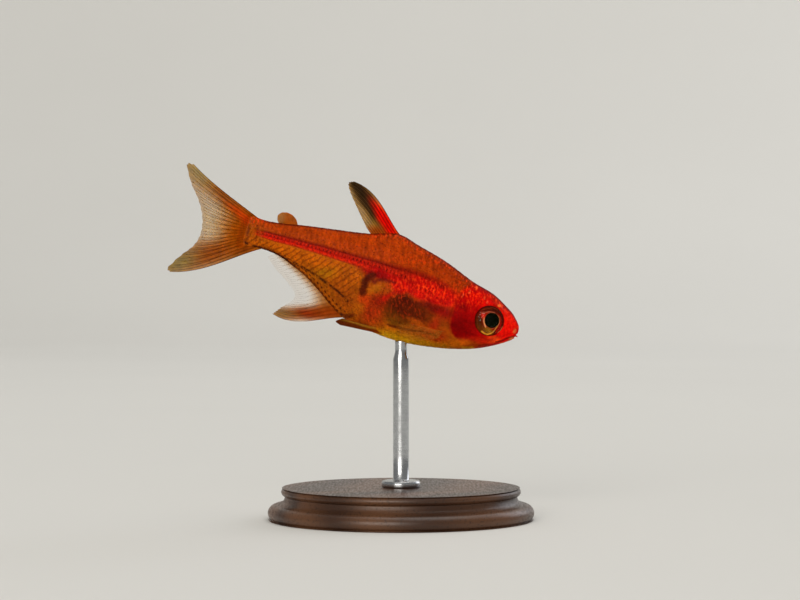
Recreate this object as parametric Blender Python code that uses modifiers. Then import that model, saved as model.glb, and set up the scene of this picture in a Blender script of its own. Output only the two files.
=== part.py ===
# Ember tetra, life size, swimming head-down on a plain display stand.
#
# The fish is drawn straight: s runs back from the tip of the snout, h runs up from the body's
# axis and y to the fish's left. It is then pitched head-down and lifted onto its rod. The stand's
# foot is the origin, with +X towards the head and +Z up. All sizes are in metres, except for the
# points of the outlines, which are in millimetres.

import math

import bmesh
import bpy
import numpy as np
from mathutils import Matrix, Vector

MM = 0.001

# The body, whose outlines come last
GAP = 0.3 * MM  # air left between two neighbouring pieces
BODY_END = 16.6 * MM  # fleshy end of the tail, inside the tail fin's root
NOSE_TIP = -0.16 * MM
NOSE_ROUND = 0.24 * MM
TAIL_ROUND = 0.75 * MM
STATIONS = 36  # rings along the body, without those that round its ends
END_RINGS = 4
AROUND = 28
BACK_ROUND = 0.95  # power of the cosine across the back: 1 is an ellipse, less is fuller
BELLY_ROUND = 0.82

# The head
EYE_RADIUS = 0.84 * MM
EYE_PLACE = (1.60 * MM, -0.27 * MM)  # s and h of its middle
EYE_FORWARD = math.radians(9)
EYE_UPWARD = math.radians(5)
EYE_DEPTH = 0.36 * MM  # from the head's surface to the eye's flat back
EYE_BULGE = 0.17 * MM
EYE_GAP = 0.25 * MM
EYE_STEPS = 32
GILL_THICK = 0.48 * MM
MOUTH_LINE = ((0.0, -0.50), (0.62, -0.88))  # (s, h) in millimetres, from the lips to the corner
MOUTH_OPEN = 0.18 * MM  # between the lips at the front
LIP_RADIUS = 0.085 * MM
LIP_RISE = 0.13 * MM  # of a lip's middle from the mouth's line
NOSTRIL_PLACE = (0.66 * MM, 0.24 * MM)  # s and h
NOSTRIL_RADIUS = 0.09 * MM
NOSTRIL_DEPTH = 0.12 * MM

# The fins
RAY_THICK = 0.68 * MM
WEB_THICK = 0.5 * MM  # the membrane between two rays
MARGIN_SHARE = 0.6  # thickness left at a fin's free edge

# The stand and the pose
PITCH = math.radians(19.2)  # head-down
ROD_S = 5.9 * MM  # the rod meets the belly here
BELLY_CLEAR = 8.2 * MM  # from the base's top to the belly at the rod
BASE_RADIUS = 7.5 * MM
BASE_HEIGHT = 1.8 * MM
FOOT_ROUND = 0.4 * MM  # radius of the bulging foot moulding
COVE_ROUND = 0.55 * MM  # radius of the hollow above it
RIM_ROUND = 0.25 * MM  # radius of the top's edge
BASE_STEPS = 64
ROD_RADIUS = 0.45 * MM
SOCKET_DEPTH = 1.0 * MM
COLLAR_RADIUS = 1.1 * MM
COLLAR_HEIGHT = 0.4 * MM

# Outlines as (s, h) in millimetres, for a fish 16 mm long without its tail fin
BACK_LINE = (
    (0.0, 0.11), (0.45, 0.52), (0.9, 0.78), (1.8, 1.20), (3.16, 1.50), (4.96, 2.06), (6.76, 2.43),
    (7.95, 2.65), (9.7, 2.11), (11.3, 1.76), (13.1, 1.39), (14.4, 1.07), (15.3, 0.92), (16.6, 0.75),
)
BELLY_LINE = (
    (0.0, -0.85), (0.45, -1.21), (1.35, -1.78), (2.25, -2.20), (4.5, -2.82), (6.3, -3.07),
    (7.2, -3.07), (9.5, -2.80), (10.4, -2.34), (11.3, -1.80), (12.2, -1.32), (13.1, -0.99),
    (14.0, -0.72), (15.3, -0.68), (16.6, -0.70),
)
WIDEST_LEVEL = ((0.0, -0.39), (1.6, -0.45), (3.4, -0.56), (5.6, -0.70), (9.6, -0.2), (14.0, 0.12))
HALF_WIDTH = (
    (0.0, 0.36), (0.45, 0.60), (0.9, 0.77), (1.6, 0.96), (2.5, 1.07), (3.6, 1.12), (5.5, 1.08),
    (7.5, 1.0), (9.6, 0.82), (11.5, 0.62), (13.5, 0.44), (15.3, 0.32), (16.6, 0.24),
)
# The gill opening, as (h, s), and the opercle's front edge, as (s, h)
GILL_EDGE = (
    (-2.8, 2.45), (-2.03, 2.80), (-1.72, 3.27), (-1.24, 3.69), (-0.68, 3.80), (0.0, 3.72),
    (1.0, 3.55), (2.3, 3.27),
)
GILL_FRONT = (
    (4.6, 0.25), (3.4, 0.25), (3.22, 0.05), (3.18, -0.34), (3.04, -0.85), (2.7, -1.35),
    (2.5, -1.68), (2.8, -1.85), (4.6, -2.7),
)
TAIL_CUT = ((-3.4, 9.3), (2.8, 9.75))  # as (h, s)

FISH = []


def clear_scene():
    for obj in list(bpy.data.objects):
        bpy.data.objects.remove(obj, do_unlink=True)


def new_collection(name, hidden=False):
    made = bpy.data.collections.new(name)
    made.hide_render = hidden
    bpy.context.scene.collection.children.link(made)
    return made


clear_scene()
PARTS = new_collection("ember_tetra")
CUTTERS = new_collection("cutters", hidden=True)


def linear(hex_colour):
    """The linear colour of an sRGB hex value."""
    shares = [int(hex_colour[i : i + 2], 16) / 255 for i in (1, 3, 5)]
    return [c / 12.92 if c <= 0.04045 else ((c + 0.055) / 1.055) ** 2.4 for c in shares] + [1.0]


def material(name, colour, roughness, metallic=0.0):
    made = bpy.data.materials.new(name)
    made.use_nodes = True
    shader = made.node_tree.nodes["Principled BSDF"]
    shader.inputs["Base Color"].default_value = linear(colour)
    shader.inputs["Roughness"].default_value = roughness
    shader.inputs["Metallic"].default_value = metallic
    return made


def add_object(name, mesh, collection=PARTS, on_fish=True):
    obj = bpy.data.objects.new(name, mesh)
    collection.objects.link(obj)
    if collection is CUTTERS:
        obj.hide_render = True
        obj.display_type = "WIRE"
    if on_fish:
        FISH.append(obj)
    return obj


def add_part(name, mesh, finish, on_fish=True):
    obj = add_object(name, mesh, PARTS, on_fish)
    obj.data.materials.clear()
    obj.data.materials.append(finish)
    return obj


def mesh_from(name, points, faces):
    mesh = bpy.data.meshes.new(name)
    mesh.from_pydata([tuple(p) for p in np.asarray(points)], [], faces)
    return outward(mesh)


def outward(mesh):
    """Turn every face outwards and shade the round ones smooth."""
    bm = bmesh.new()
    bm.from_mesh(mesh)
    bmesh.ops.recalc_face_normals(bm, faces=bm.faces)
    bm.to_mesh(mesh)
    bm.free()
    mesh.shade_smooth()
    mesh.set_sharp_from_angle(angle=math.radians(40))
    return mesh


def boolean(obj, other, operation):
    cut = obj.modifiers.new(operation.lower(), "BOOLEAN")
    cut.operation = operation
    cut.solver = "EXACT"
    cut.object = other
    return cut


def island(start):
    """The faces that hang together with this one."""
    found, edge = {start}, [start]
    while edge:
        near = {f for e in edge.pop().edges for f in e.link_faces} - found
        found |= near
        edge.extend(near)
    return found


def size_of(faces):
    """Six times the volume inside these faces."""
    total = 0.0
    for face in faces:
        first = face.verts[0].co
        for a, b in zip(face.verts[1:], face.verts[2:]):
            total += first.dot(a.co.cross(b.co))
    return total


def settle(obj):
    """Apply the modifiers and keep the largest closed surface."""
    bpy.context.view_layer.update()
    graph = bpy.context.evaluated_depsgraph_get()
    mesh = bpy.data.meshes.new_from_object(obj.evaluated_get(graph))
    obj.modifiers.clear()
    bm = bmesh.new()
    bm.from_mesh(mesh)
    left, bodies = set(bm.faces), []
    while left:
        bodies.append(island(next(iter(left))))
        left -= bodies[-1]
    kept = max(bodies, key=size_of)
    spare = {v for f in bm.faces if f not in kept for v in f.verts}
    bmesh.ops.delete(bm, geom=list(spare), context="VERTS")
    bm.to_mesh(mesh)
    bm.free()
    finish = obj.data.materials[0] if obj.data.materials else None
    obj.data = outward(mesh)
    obj.data.materials.clear()
    if finish:
        obj.data.materials.append(finish)
    return obj


def through(points, x):
    """Smooth curve through (x, y) points: cubic pieces, each sloped at a point as its two chords."""
    px, py = np.array(points).T
    chord = np.diff(py) / np.diff(px)
    slope = np.concatenate((chord[:1], (chord[1:] + chord[:-1]) / 2, chord[-1:]))
    x = np.clip(x, px[0], px[-1])
    i = np.clip(np.searchsorted(px, x, side="right") - 1, 0, len(px) - 2)
    w = px[i + 1] - px[i]
    t = (x - px[i]) / w
    rise = t * t * (3 - 2 * t)
    bend = t * (1 - t) ** 2 * slope[i] - t * t * (1 - t) * slope[i + 1]
    return py[i] + (py[i + 1] - py[i]) * rise + w * bend


def line(points, s):
    return through(points, np.asarray(s, float) / MM) * MM


def section(s, grow=0.0):
    """Middle level, height above it, depth below it and half width of the body at s."""
    nose = np.clip((s - NOSE_TIP) / NOSE_ROUND, 0, 1)
    tail = np.clip((BODY_END - s) / TAIL_ROUND, 0, 1)
    end = np.sqrt(nose * (2 - nose) * tail * (2 - tail))
    level = line(WIDEST_LEVEL, s)
    up = (line(BACK_LINE, s) - level) * end + grow
    down = (level - line(BELLY_LINE, s)) * end + grow
    shift = grow * (nose - tail)
    return level, up, down, line(HALF_WIDTH, s) * end + grow, shift


def body_points(s, angle, grow=0.0):
    """Points round the body: an oval whose two halves differ, pushed out all round by grow."""
    level, up, down, wide, shift = section(s, grow)
    across, above = np.cos(angle), np.sin(angle)
    power = np.where(above > 0, BACK_ROUND, BELLY_ROUND)
    y = wide * np.sign(across) * np.abs(across) ** power
    z = level + np.where(above > 0, up, down) * above
    return np.stack(np.broadcast_arrays(-(s + shift), y, z), -1)


def side_width(s, h):
    """Half width of the body at s, at the level h."""
    level, up, down, wide, _ = section(s)
    share = np.clip(np.where(h > level, (h - level) / up, (level - h) / down), 0, 1)
    power = np.where(h > level, BACK_ROUND, BELLY_ROUND)
    return wide * (1 - share**2) ** (power / 2)


def rings_mesh(name, rings, first, last):
    """A closed mesh through rings of points, with a pole at each end."""
    count, around = rings.shape[:2]
    points = np.concatenate((rings.reshape(-1, 3), [first, last]))
    faces = []
    for i in range(count - 1):
        for j in range(around):
            k = (j + 1) % around
            faces.append((i * around + j, i * around + k, (i + 1) * around + k, (i + 1) * around + j))
    for j in range(around):
        k = (j + 1) % around
        faces.append((count * around, k, j))
        faces.append((count * around + 1, (count - 1) * around + j, (count - 1) * around + k))
    return mesh_from(name, points, faces)


def body_mesh(name, grow=0.0, start=NOSE_TIP, stop=BODY_END):
    """The whole body from start to stop, with its ends rounded where they are the fish's own."""
    turn = (np.arange(END_RINGS) + 0.6) / END_RINGS * math.pi / 2
    nose = start + NOSE_ROUND * (1 - np.cos(turn)) if start == NOSE_TIP else np.array([start])
    tail = stop - TAIL_ROUND * (1 - np.cos(turn[::-1])) if stop == BODY_END else np.array([stop])
    middle = np.linspace(nose[-1], tail[0], STATIONS + 1)[1:-1]
    s = np.concatenate((nose, middle, tail))[:, None]
    angle = (np.arange(AROUND) * 2 * math.pi / AROUND)[None, :]
    rings = body_points(s, angle, grow)
    first, last = rings[0].mean(0), rings[-1].mean(0)
    first[0] = -(start - grow) if start == NOSE_TIP else first[0]
    last[0] = -(stop + grow) if stop == BODY_END else last[0]
    return rings_mesh(name, rings, first, last)


def offset(outline, distance):
    """A line of (s, h) points moved sideways, to the left of its own direction."""
    outline = np.asarray(outline, float)
    along = np.gradient(outline, axis=0)
    along /= np.linalg.norm(along, axis=1, keepdims=True)
    return outline + distance * np.stack((-along[:, 1], along[:, 0]), 1)


def prism(name, outline, low, high):
    """A cutter: a flat (s, h) outline carried across the fish from y = low to y = high."""
    bm = bmesh.new()
    face = bm.faces.new([bm.verts.new((-s, low, h)) for s, h in outline])
    moved = bmesh.ops.extrude_face_region(bm, geom=[face])["geom"]
    verts = [v for v in moved if isinstance(v, bmesh.types.BMVert)]
    bmesh.ops.translate(bm, verts=verts, vec=(0, high - low, 0))
    mesh = bpy.data.meshes.new(name)
    bm.to_mesh(mesh)
    bm.free()
    return add_object(name, outward(mesh), CUTTERS)


def cylinder(name, radius, depth, steps=24):
    """A cylinder along Z from 0 to depth."""
    bm = bmesh.new()
    bmesh.ops.create_cone(
        bm, cap_ends=True, segments=steps, radius1=radius, radius2=radius, depth=depth,
        matrix=Matrix.Translation((0, 0, depth / 2)),
    )
    mesh = bpy.data.meshes.new(name)
    bm.to_mesh(mesh)
    bm.free()
    return outward(mesh)


REACH = 6 * MM  # past the body on every side


def gill_line():
    """The gill opening from below the throat to above the nape, as (s, h)."""
    h = np.linspace(GILL_EDGE[0][0], GILL_EDGE[-1][0], 15) * MM
    return np.stack((line(GILL_EDGE, h), h), 1)


def region_head():
    edge = gill_line()
    top, low = (edge[-1][0], REACH), (edge[0][0], -REACH)
    outline = [low, *map(tuple, edge), top, (-REACH, REACH), (-REACH, -REACH)]
    return prism("region_head", outline, -REACH, REACH)


def region_trunk():
    edge = offset(gill_line(), -GAP)
    low_cut, high_cut = (np.array(p[::-1]) * MM for p in TAIL_CUT)
    back = [(high_cut[0] - GAP / 2, REACH), tuple(high_cut - (GAP / 2, 0))]
    back += [tuple(low_cut - (GAP / 2, 0)), (low_cut[0] - GAP / 2, -REACH)]
    outline = [(edge[0][0], -REACH), *map(tuple, edge), (edge[-1][0], REACH), *back]
    return prism("region_trunk", outline, -REACH, REACH)


def region_tail():
    low_cut, high_cut = (np.array(p[::-1]) * MM + (GAP / 2, 0) for p in TAIL_CUT)
    end = BODY_END + REACH
    outline = [(low_cut[0], -REACH), tuple(low_cut), tuple(high_cut), (high_cut[0], REACH)]
    return prism("region_tail", outline + [(end, REACH), (end, -REACH)], -REACH, REACH)


def eye_frame(side):
    """Where the eye sits on the head's surface, with Z along the way it looks."""
    s, h = EYE_PLACE
    look = Vector((math.sin(EYE_FORWARD), side * math.cos(EYE_FORWARD), math.sin(EYE_UPWARD)))
    place = Vector((-s, side * float(side_width(s, h)), h))
    return Matrix.Translation(place) @ look.to_track_quat("Z", "Y").to_matrix().to_4x4()


def eye_socket(side):
    depth = EYE_DEPTH + EYE_GAP
    mesh = cylinder("socket", EYE_RADIUS + EYE_GAP, depth + REACH, EYE_STEPS)
    mesh.transform(eye_frame(side) @ Matrix.Translation((0, 0, -depth)))
    return add_object("socket", mesh, CUTTERS)


def eye(name, side, finish):
    """A lens-shaped eye, turned about the way it looks, with a flat back."""
    dome = np.linspace(0, math.pi / 2, 6)
    profile = [(EYE_RADIUS * math.sin(a), EYE_BULGE * math.cos(a)) for a in dome]
    profile += [(EYE_RADIUS, -EYE_DEPTH), (0.0, -EYE_DEPTH)]
    obj = settle(turned(name, profile, EYE_STEPS, finish, True))
    obj.data.transform(eye_frame(side))
    return obj


def gill_recess(core):
    """The hollow in the head's side that the gill covers lie in."""
    outline = offset(np.array(GILL_FRONT) * MM, -GAP)
    outline[0], outline[-1] = np.array(GILL_FRONT[0]) * MM, np.array(GILL_FRONT[-1]) * MM
    outline[0][1] += GAP
    outline[-1][1] -= GAP
    recess = prism("recess", outline, -REACH, REACH)
    boolean(recess, core, "DIFFERENCE")
    settle_all(recess)
    return recess


def settle_all(obj):
    """Apply the modifiers and keep every surface."""
    bpy.context.view_layer.update()
    graph = bpy.context.evaluated_depsgraph_get()
    mesh = bpy.data.meshes.new_from_object(obj.evaluated_get(graph))
    obj.modifiers.clear()
    obj.data = outward(mesh)


def gill_cover(name, side, region, core, finish):
    """The stiff plate over the gills, flush with the head and free at its hind edge."""
    obj = add_part(name, body_mesh(name), finish)
    low, high = sorted((side * 0.05 * MM, side * REACH))
    plate = prism(f"plate_{name}", np.array(GILL_FRONT) * MM, low, high)
    boolean(obj, region, "INTERSECT")
    boolean(obj, plate, "INTERSECT")
    boolean(obj, core, "DIFFERENCE")
    return settle(obj)


def tube(name, points, radius, collection):
    """A closed tube along these points."""
    curve = bpy.data.curves.new(name, "CURVE")
    curve.dimensions = "3D"
    curve.bevel_depth = radius
    curve.bevel_resolution = 2
    curve.use_fill_caps = True
    spline = curve.splines.new("POLY")
    spline.points.add(len(points) - 1)
    for knot, place in zip(spline.points, points):
        knot.co = (*place, 1)
    drawn = bpy.data.objects.new(name, curve)
    collection.objects.link(drawn)
    bpy.context.view_layer.update()
    graph = bpy.context.evaluated_depsgraph_get()
    mesh = bpy.data.meshes.new_from_object(drawn.evaluated_get(graph))
    bpy.data.objects.remove(drawn, do_unlink=True)
    bm = bmesh.new()
    bm.from_mesh(mesh)
    bmesh.ops.remove_doubles(bm, verts=bm.verts, dist=1e-7)
    bm.to_mesh(mesh)
    bm.free()
    solid = bpy.data.objects.new(name, outward(mesh))
    solid.hide_render = True
    collection.objects.link(solid)
    return solid


def lip(name, rise, collection):
    """One lip: a tube round the snout, from one corner of the mouth to the other."""
    (front_s, front_h), (corner_s, corner_h) = np.array(MOUTH_LINE) * MM
    s = np.linspace(corner_s, NOSE_TIP + LIP_RADIUS, 7)
    h = front_h + (corner_h - front_h) * (s - front_s) / (corner_s - front_s) + rise
    y = side_width(s, h) - LIP_RADIUS / 3
    left = [(-a, b, c) for a, b, c in zip(s, y, h)]
    right = [(a, -b, c) for a, b, c in reversed(left)]
    front = [(-NOSE_TIP - LIP_RADIUS / 3, 0.0, front_h + rise)]
    return tube(name, left + front + right, LIP_RADIUS, collection)


def mouth():
    """The slit between the lips, which narrows to the corners."""
    (front_s, front_h), (corner_s, corner_h) = np.array(MOUTH_LINE) * MM
    half, far = MOUTH_OPEN / 2, 0.5 * MM
    outline = [
        (-far, front_h + half), (-far, front_h - half), (corner_s, corner_h - half / 2),
        (corner_s + half, corner_h - half / 2), (corner_s + half, corner_h + half / 2),
    ]
    return prism("mouth", outline, -REACH, REACH)


def nostril(side):
    s, h = NOSTRIL_PLACE
    mesh = cylinder("nostril", NOSTRIL_RADIUS, MM, 12)
    place = Vector((-s, side * float(side_width(s, h)), h))
    look = Vector((0.5, side, 0.35)).to_track_quat("Z", "Y").to_matrix().to_4x4()
    mesh.transform(Matrix.Translation(place) @ look @ Matrix.Translation((0, 0, -NOSTRIL_DEPTH)))
    return add_object("nostril", mesh, CUTTERS)


def head(region, sockets, recess, finish):
    obj = add_part("head", body_mesh("head"), finish)
    lips = new_collection("lips", hidden=True)
    lip("upper_lip", LIP_RISE, lips)
    lip("lower_lip", -LIP_RISE, lips)
    join = boolean(obj, None, "UNION")
    join.operand_type = "COLLECTION"
    join.collection = lips
    boolean(obj, region, "INTERSECT")
    for cutter in (*sockets, nostril(1), nostril(-1), mouth(), recess):
        boolean(obj, cutter, "DIFFERENCE")
    settle(obj)
    for joined in list(lips.objects):
        bpy.data.objects.remove(joined, do_unlink=True)
    bpy.data.collections.remove(lips)
    return obj


def body_piece(name, region, finish):
    obj = add_part(name, body_mesh(name), finish)
    boolean(obj, region, "INTERSECT")
    return settle(obj)


def spread(points, v):
    """A point for each v from 0 to 1 along a line of points, evenly by their count."""
    points = np.asarray(points, float)
    at = np.linspace(0, 1, len(points))
    return np.stack([through(np.stack((at, points[:, k]), 1), v) for k in range(points.shape[1])], -1)


def fin(name, root, margin, bow, rays, rows, keepout, finish):
    """A fin between its root, sunk in the flesh, and its margin, with rays bowed sideways.

    Each ray runs from root(v) to margin(v) as root + t (margin - root) + 27/4 t t (1 - t) bow
    across, and is a ridge between two furrows. The points are (s, y, h) in millimetres.
    """
    columns = 2 * rays - 1
    v = np.linspace(0, 1, columns)
    t = np.linspace(0, 1, rows)[:, None, None]
    start, end = spread(root, v), spread(margin, v)
    chord = end - start
    across = np.stack((-chord[:, 2], np.zeros_like(v), chord[:, 0]), -1)
    across *= (bow[0] + (bow[1] - bow[0]) * v)[:, None]
    points = (start + t * chord + 6.75 * t * t * (1 - t) * across) * MM
    points[..., 0] *= -1
    mesh = bpy.data.meshes.new(name)
    index = np.arange(rows * columns).reshape(rows, columns)
    faces = np.stack((index[:-1, :-1], index[:-1, 1:], index[1:, 1:], index[1:, :-1]), -1)
    mesh.from_pydata(points.reshape(-1, 3).tolist(), [], faces.reshape(-1, 4).tolist())
    obj = add_part(name, mesh, finish)
    ridge = np.where(np.arange(columns) % 2, WEB_THICK / RAY_THICK, 1.0)
    thickness = np.clip((1 - t[:, :, 0]) * 4, MARGIN_SHARE, 1) * ridge
    group = obj.vertex_groups.new(name="thickness")
    for i, share in enumerate(thickness.ravel()):
        group.add([i], float(share), "REPLACE")
    split = obj.modifiers.new("split", "TRIANGULATE")
    split.quad_method = "FIXED"
    wall = obj.modifiers.new("wall", "SOLIDIFY")
    wall.thickness = RAY_THICK
    wall.offset = 0
    wall.vertex_group = "thickness"
    boolean(obj, keepout, "DIFFERENCE")
    return settle(obj)


def flat(points, y=0.0):
    return [(s, y, h) for s, h in points]


def median_fins(keepout, tail_finish, back_finish, belly_finish):
    fin(
        "caudal_fin_upper",
        flat(((15.0, 0.65), (15.6, 0.5), (16.0, 0.3), (16.2, 0.05))),
        flat(((20.55, 2.56), (20.0, 1.5), (19.39, 0.88), (18.99, 0.26), (18.72, -0.38))),
        (0.03, 0.0), 10, 8, keepout, tail_finish,
    )
    fin(
        "caudal_fin_lower",
        flat(((16.2, -0.25), (16.0, -0.4), (15.6, -0.5), (15.0, -0.55))),
        flat(((18.62, -0.70), (18.6, -1.5), (19.2, -2.3), (19.73, -3.58))),
        (0.0, -0.05), 9, 8, keepout, tail_finish,
    )
    fin(
        "dorsal_fin",
        flat(((7.75, 2.5), (8.5, 2.2), (9.2, 1.95))),
        flat(((11.64, 4.56), (11.5, 4.1), (10.75, 3.33), (9.9, 2.45))),
        (0.09, 0.0), 11, 8, keepout, back_finish,
    )
    fin(
        "adipose_fin",
        flat(((13.35, 1.0), (14.3, 0.8))),
        flat(((13.7, 1.5), (14.1, 1.72), (14.5, 1.74), (14.85, 1.3))),
        (0.0, 0.0), 4, 4, keepout, back_finish,
    )
    fin(
        "anal_fin",
        flat(((9.3, -2.75), (10.6, -1.85), (12.1, -1.1), (13.9, -0.45))),
        flat(((13.3, -3.92), (13.0, -3.5), (12.4, -2.6), (13.1, -1.95), (13.9, -1.5), (14.6, -1.0))),
        (-0.09, 0.0), 18, 6, keepout, belly_finish,
    )


def side_fins(keepout, finish):
    for side, word in ((1, "left"), (-1, "right")):
        fin(
            f"pectoral_fin_{word}",
            [(3.85, side * 0.95, -1.7), (3.95, side * 0.8, -2.1)],
            [(6.35, side * 1.9, -2.1), (6.25, side * 1.85, -2.5), (5.5, side * 1.6, -2.8)],
            (0.03, -0.03), 9, 6, keepout, finish,
        )
        fin(
            f"pelvic_fin_{word}",
            [(7.0, side * 0.5, -2.9), (7.1, side * 0.6, -2.6)],
            [(9.5, side * 0.6, -3.15), (9.75, side * 0.66, -3.0), (9.4, side * 0.85, -2.65)],
            (-0.03, 0.0), 7, 6, keepout, finish,
        )


def arc(middle, radius, start, stop, steps):
    """Points on a circle from one angle to another, in degrees."""
    turn = np.radians(np.linspace(start, stop, steps + 1))
    return [(middle[0] + radius * math.cos(a), middle[1] + radius * math.sin(a)) for a in turn]


def base_profile():
    """Radius and height down the turned base: its top, a round rim, a cove and a bulging foot."""
    foot = BASE_RADIUS - FOOT_ROUND
    cove = 2 * FOOT_ROUND + RIM_ROUND / 5 + COVE_ROUND
    rim = (foot - COVE_ROUND - RIM_ROUND / 5, BASE_HEIGHT - RIM_ROUND)
    profile = [(0.0, BASE_HEIGHT)]
    profile += arc((rim[0], rim[1]), RIM_ROUND, 90, 0, 4)
    profile += arc((foot, cove), COVE_ROUND, 180, 270, 5)
    profile += arc((foot, FOOT_ROUND), FOOT_ROUND, 90, -90, 8)
    return profile + [(0.0, 0.0)]


def turned(name, profile, steps, finish, on_fish):
    """A profile of (radius, height) turned about Z into a solid."""
    mesh = bpy.data.meshes.new(name)
    edges = [(i, i + 1) for i in range(len(profile) - 1)]
    mesh.from_pydata([(r, 0, z) for r, z in profile], edges, [])
    obj = add_part(name, mesh, finish, on_fish)
    turn = obj.modifiers.new("turn", "SCREW")
    turn.steps = turn.render_steps = steps
    turn.use_merge_vertices = True
    turn.merge_threshold = 1e-6
    return obj


def stand(keepout, rod_finish, base_finish, belly_level):
    """A turned disc with a hole, and a rod with a collar that stands in it, up to the belly."""
    base = turned("stand_base", base_profile(), BASE_STEPS, base_finish, False)
    hole = add_object(
        "hole", cylinder("hole", ROD_RADIUS + GAP, REACH, 24), CUTTERS, False
    )
    hole.location.z = BASE_HEIGHT - SOCKET_DEPTH
    boolean(base, hole, "DIFFERENCE")
    settle(base)

    foot = BASE_HEIGHT - SOCKET_DEPTH + GAP
    rod = add_part(
        "stand_rod", cylinder("stand_rod", ROD_RADIUS, belly_level + MM - foot, 24), rod_finish, False
    )
    rod.data.transform(Matrix.Translation((0, 0, foot)))
    collar = add_object("collar", cylinder("collar", COLLAR_RADIUS, COLLAR_HEIGHT, 32), CUTTERS, False)
    collar.data.transform(Matrix.Translation((0, 0, BASE_HEIGHT + GAP)))
    boolean(rod, collar, "UNION")
    boolean(rod, keepout, "DIFFERENCE")
    settle(rod)


def build():
    red = material("painted_head", "#C81408", 0.35)
    orange = material("painted_flank", "#B24A08", 0.4)
    deep = material("painted_gill_cover", "#9A0008", 0.35)
    dark = material("glazed_eye", "#0A0D06", 0.1)
    amber = material("tinted_tail_fin", "#9A5A08", 0.45)
    scarlet = material("tinted_back_fins", "#C01808", 0.45)
    brown = material("tinted_anal_fin", "#8A2A10", 0.45)
    clear = material("tinted_paired_fins", "#A85A20", 0.45)
    steel = material("brushed_steel", "#B9BCC0", 0.35, 1.0)
    wood = material("dark_wood", "#4A2F1E", 0.5)

    pose = bpy.data.objects.new("pose", None)
    PARTS.objects.link(pose)
    belly = Vector((-ROD_S, 0, float(line(BELLY_LINE, ROD_S))))
    turn = Matrix.Rotation(PITCH, 3, "Y")
    belly_level = BASE_HEIGHT + BELLY_CLEAR
    pose.rotation_euler = (0, PITCH, 0)
    pose.location = Vector((0, 0, belly_level)) - turn @ belly

    keepout = add_object("keepout", body_mesh("keepout", GAP), CUTTERS)
    core = add_object("core", body_mesh("core", -GILL_THICK, 1.2 * MM, 6 * MM), CUTTERS)
    deep_core = add_object("deep_core", body_mesh("deep_core", -GILL_THICK - GAP, 1.2 * MM, 6 * MM), CUTTERS)
    region = region_head()
    sockets = [eye_socket(side) for side in (1, -1)]
    head(region, sockets, gill_recess(deep_core), red)
    for side, word in ((1, "left"), (-1, "right")):
        gill_cover(f"gill_cover_{word}", side, region, core, deep)
        eye(f"eye_{word}", side, dark)
    body_piece("trunk", region_trunk(), orange)
    body_piece("tail_stalk", region_tail(), orange)
    median_fins(keepout, amber, scarlet, brown)
    side_fins(keepout, clear)
    for obj in FISH:
        obj.parent = pose
    bpy.context.view_layer.update()
    stand(keepout, steel, wood, belly_level)


build()
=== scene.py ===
# Ember tetra, life size, swimming head-down on a turned display stand in a pale studio.
#
# A piece is laid out straight and in millimetres: s runs back from the tip of the snout, h up
# towards the back and y to the fish's left. posed() then pitches it head-down into the frame.

import math

import bpy
import numpy as np
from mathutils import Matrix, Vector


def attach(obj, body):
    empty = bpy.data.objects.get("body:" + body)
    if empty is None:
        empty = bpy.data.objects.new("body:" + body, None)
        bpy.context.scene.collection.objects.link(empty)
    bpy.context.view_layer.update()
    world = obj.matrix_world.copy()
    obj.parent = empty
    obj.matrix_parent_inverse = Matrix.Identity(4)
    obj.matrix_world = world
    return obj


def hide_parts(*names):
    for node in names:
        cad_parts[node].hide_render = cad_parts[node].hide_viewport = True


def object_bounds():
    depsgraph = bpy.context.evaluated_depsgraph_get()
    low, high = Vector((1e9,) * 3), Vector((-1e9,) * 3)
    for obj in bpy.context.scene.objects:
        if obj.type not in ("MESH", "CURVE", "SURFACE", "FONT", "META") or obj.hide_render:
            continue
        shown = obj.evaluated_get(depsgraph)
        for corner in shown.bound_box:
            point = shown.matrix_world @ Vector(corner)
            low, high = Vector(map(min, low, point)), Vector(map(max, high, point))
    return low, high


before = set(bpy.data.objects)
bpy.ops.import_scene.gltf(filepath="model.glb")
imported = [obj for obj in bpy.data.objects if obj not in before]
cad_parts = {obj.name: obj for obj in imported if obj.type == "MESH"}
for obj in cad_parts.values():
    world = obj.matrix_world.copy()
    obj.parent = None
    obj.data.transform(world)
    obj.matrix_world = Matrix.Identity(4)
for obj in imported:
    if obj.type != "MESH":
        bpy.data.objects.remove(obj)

MM = 0.001
CAD_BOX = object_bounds()

# Camera. The photograph looks level at the fish's right side from far off. A 100 mm lens 125 mm
# away makes one of its 800 pixels 0.0564 mm at the fish, which gives the fish its life size.
camera = bpy.data.objects.new("camera", bpy.data.cameras.new("camera"))
bpy.context.scene.collection.objects.link(camera)
camera.data.lens = 100.0
camera.data.sensor_width = 36.0
camera.data.clip_start = 0.01
camera.data.clip_end = 10.0
camera.location = (-0.056 * MM, -125.3 * MM, 12.357 * MM)
camera.rotation_euler = (math.pi / 2, 0.0, 0.0)
bpy.context.scene.camera = camera
bpy.context.scene.view_settings.view_transform = "Standard"

# Studio. A sweep of pale matt paper runs under the stand and up behind it. One broad light hangs
# in front of the fish, one above it and a weak one on its far side, in an evenly lit room.
SWEEP_WIDTH = 1.6
SWEEP_FRONT = -0.6
SWEEP_BACK = 0.45
SWEEP_ROUND = 0.3
SWEEP_HEIGHT = 0.9
SWEEP_ROWS = 80
SWEEP_COLUMNS = 25


def linear(hex_colour):
    """sRGB hex to linear light: c / 12.92 up to 0.04045, above it ((c + 0.055) / 1.055) ^ 2.4."""
    shares = [int(hex_colour[i : i + 2], 16) / 255 for i in (1, 3, 5)]
    return [c / 12.92 if c <= 0.04045 else ((c + 0.055) / 1.055) ** 2.4 for c in shares] + [1.0]


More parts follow.
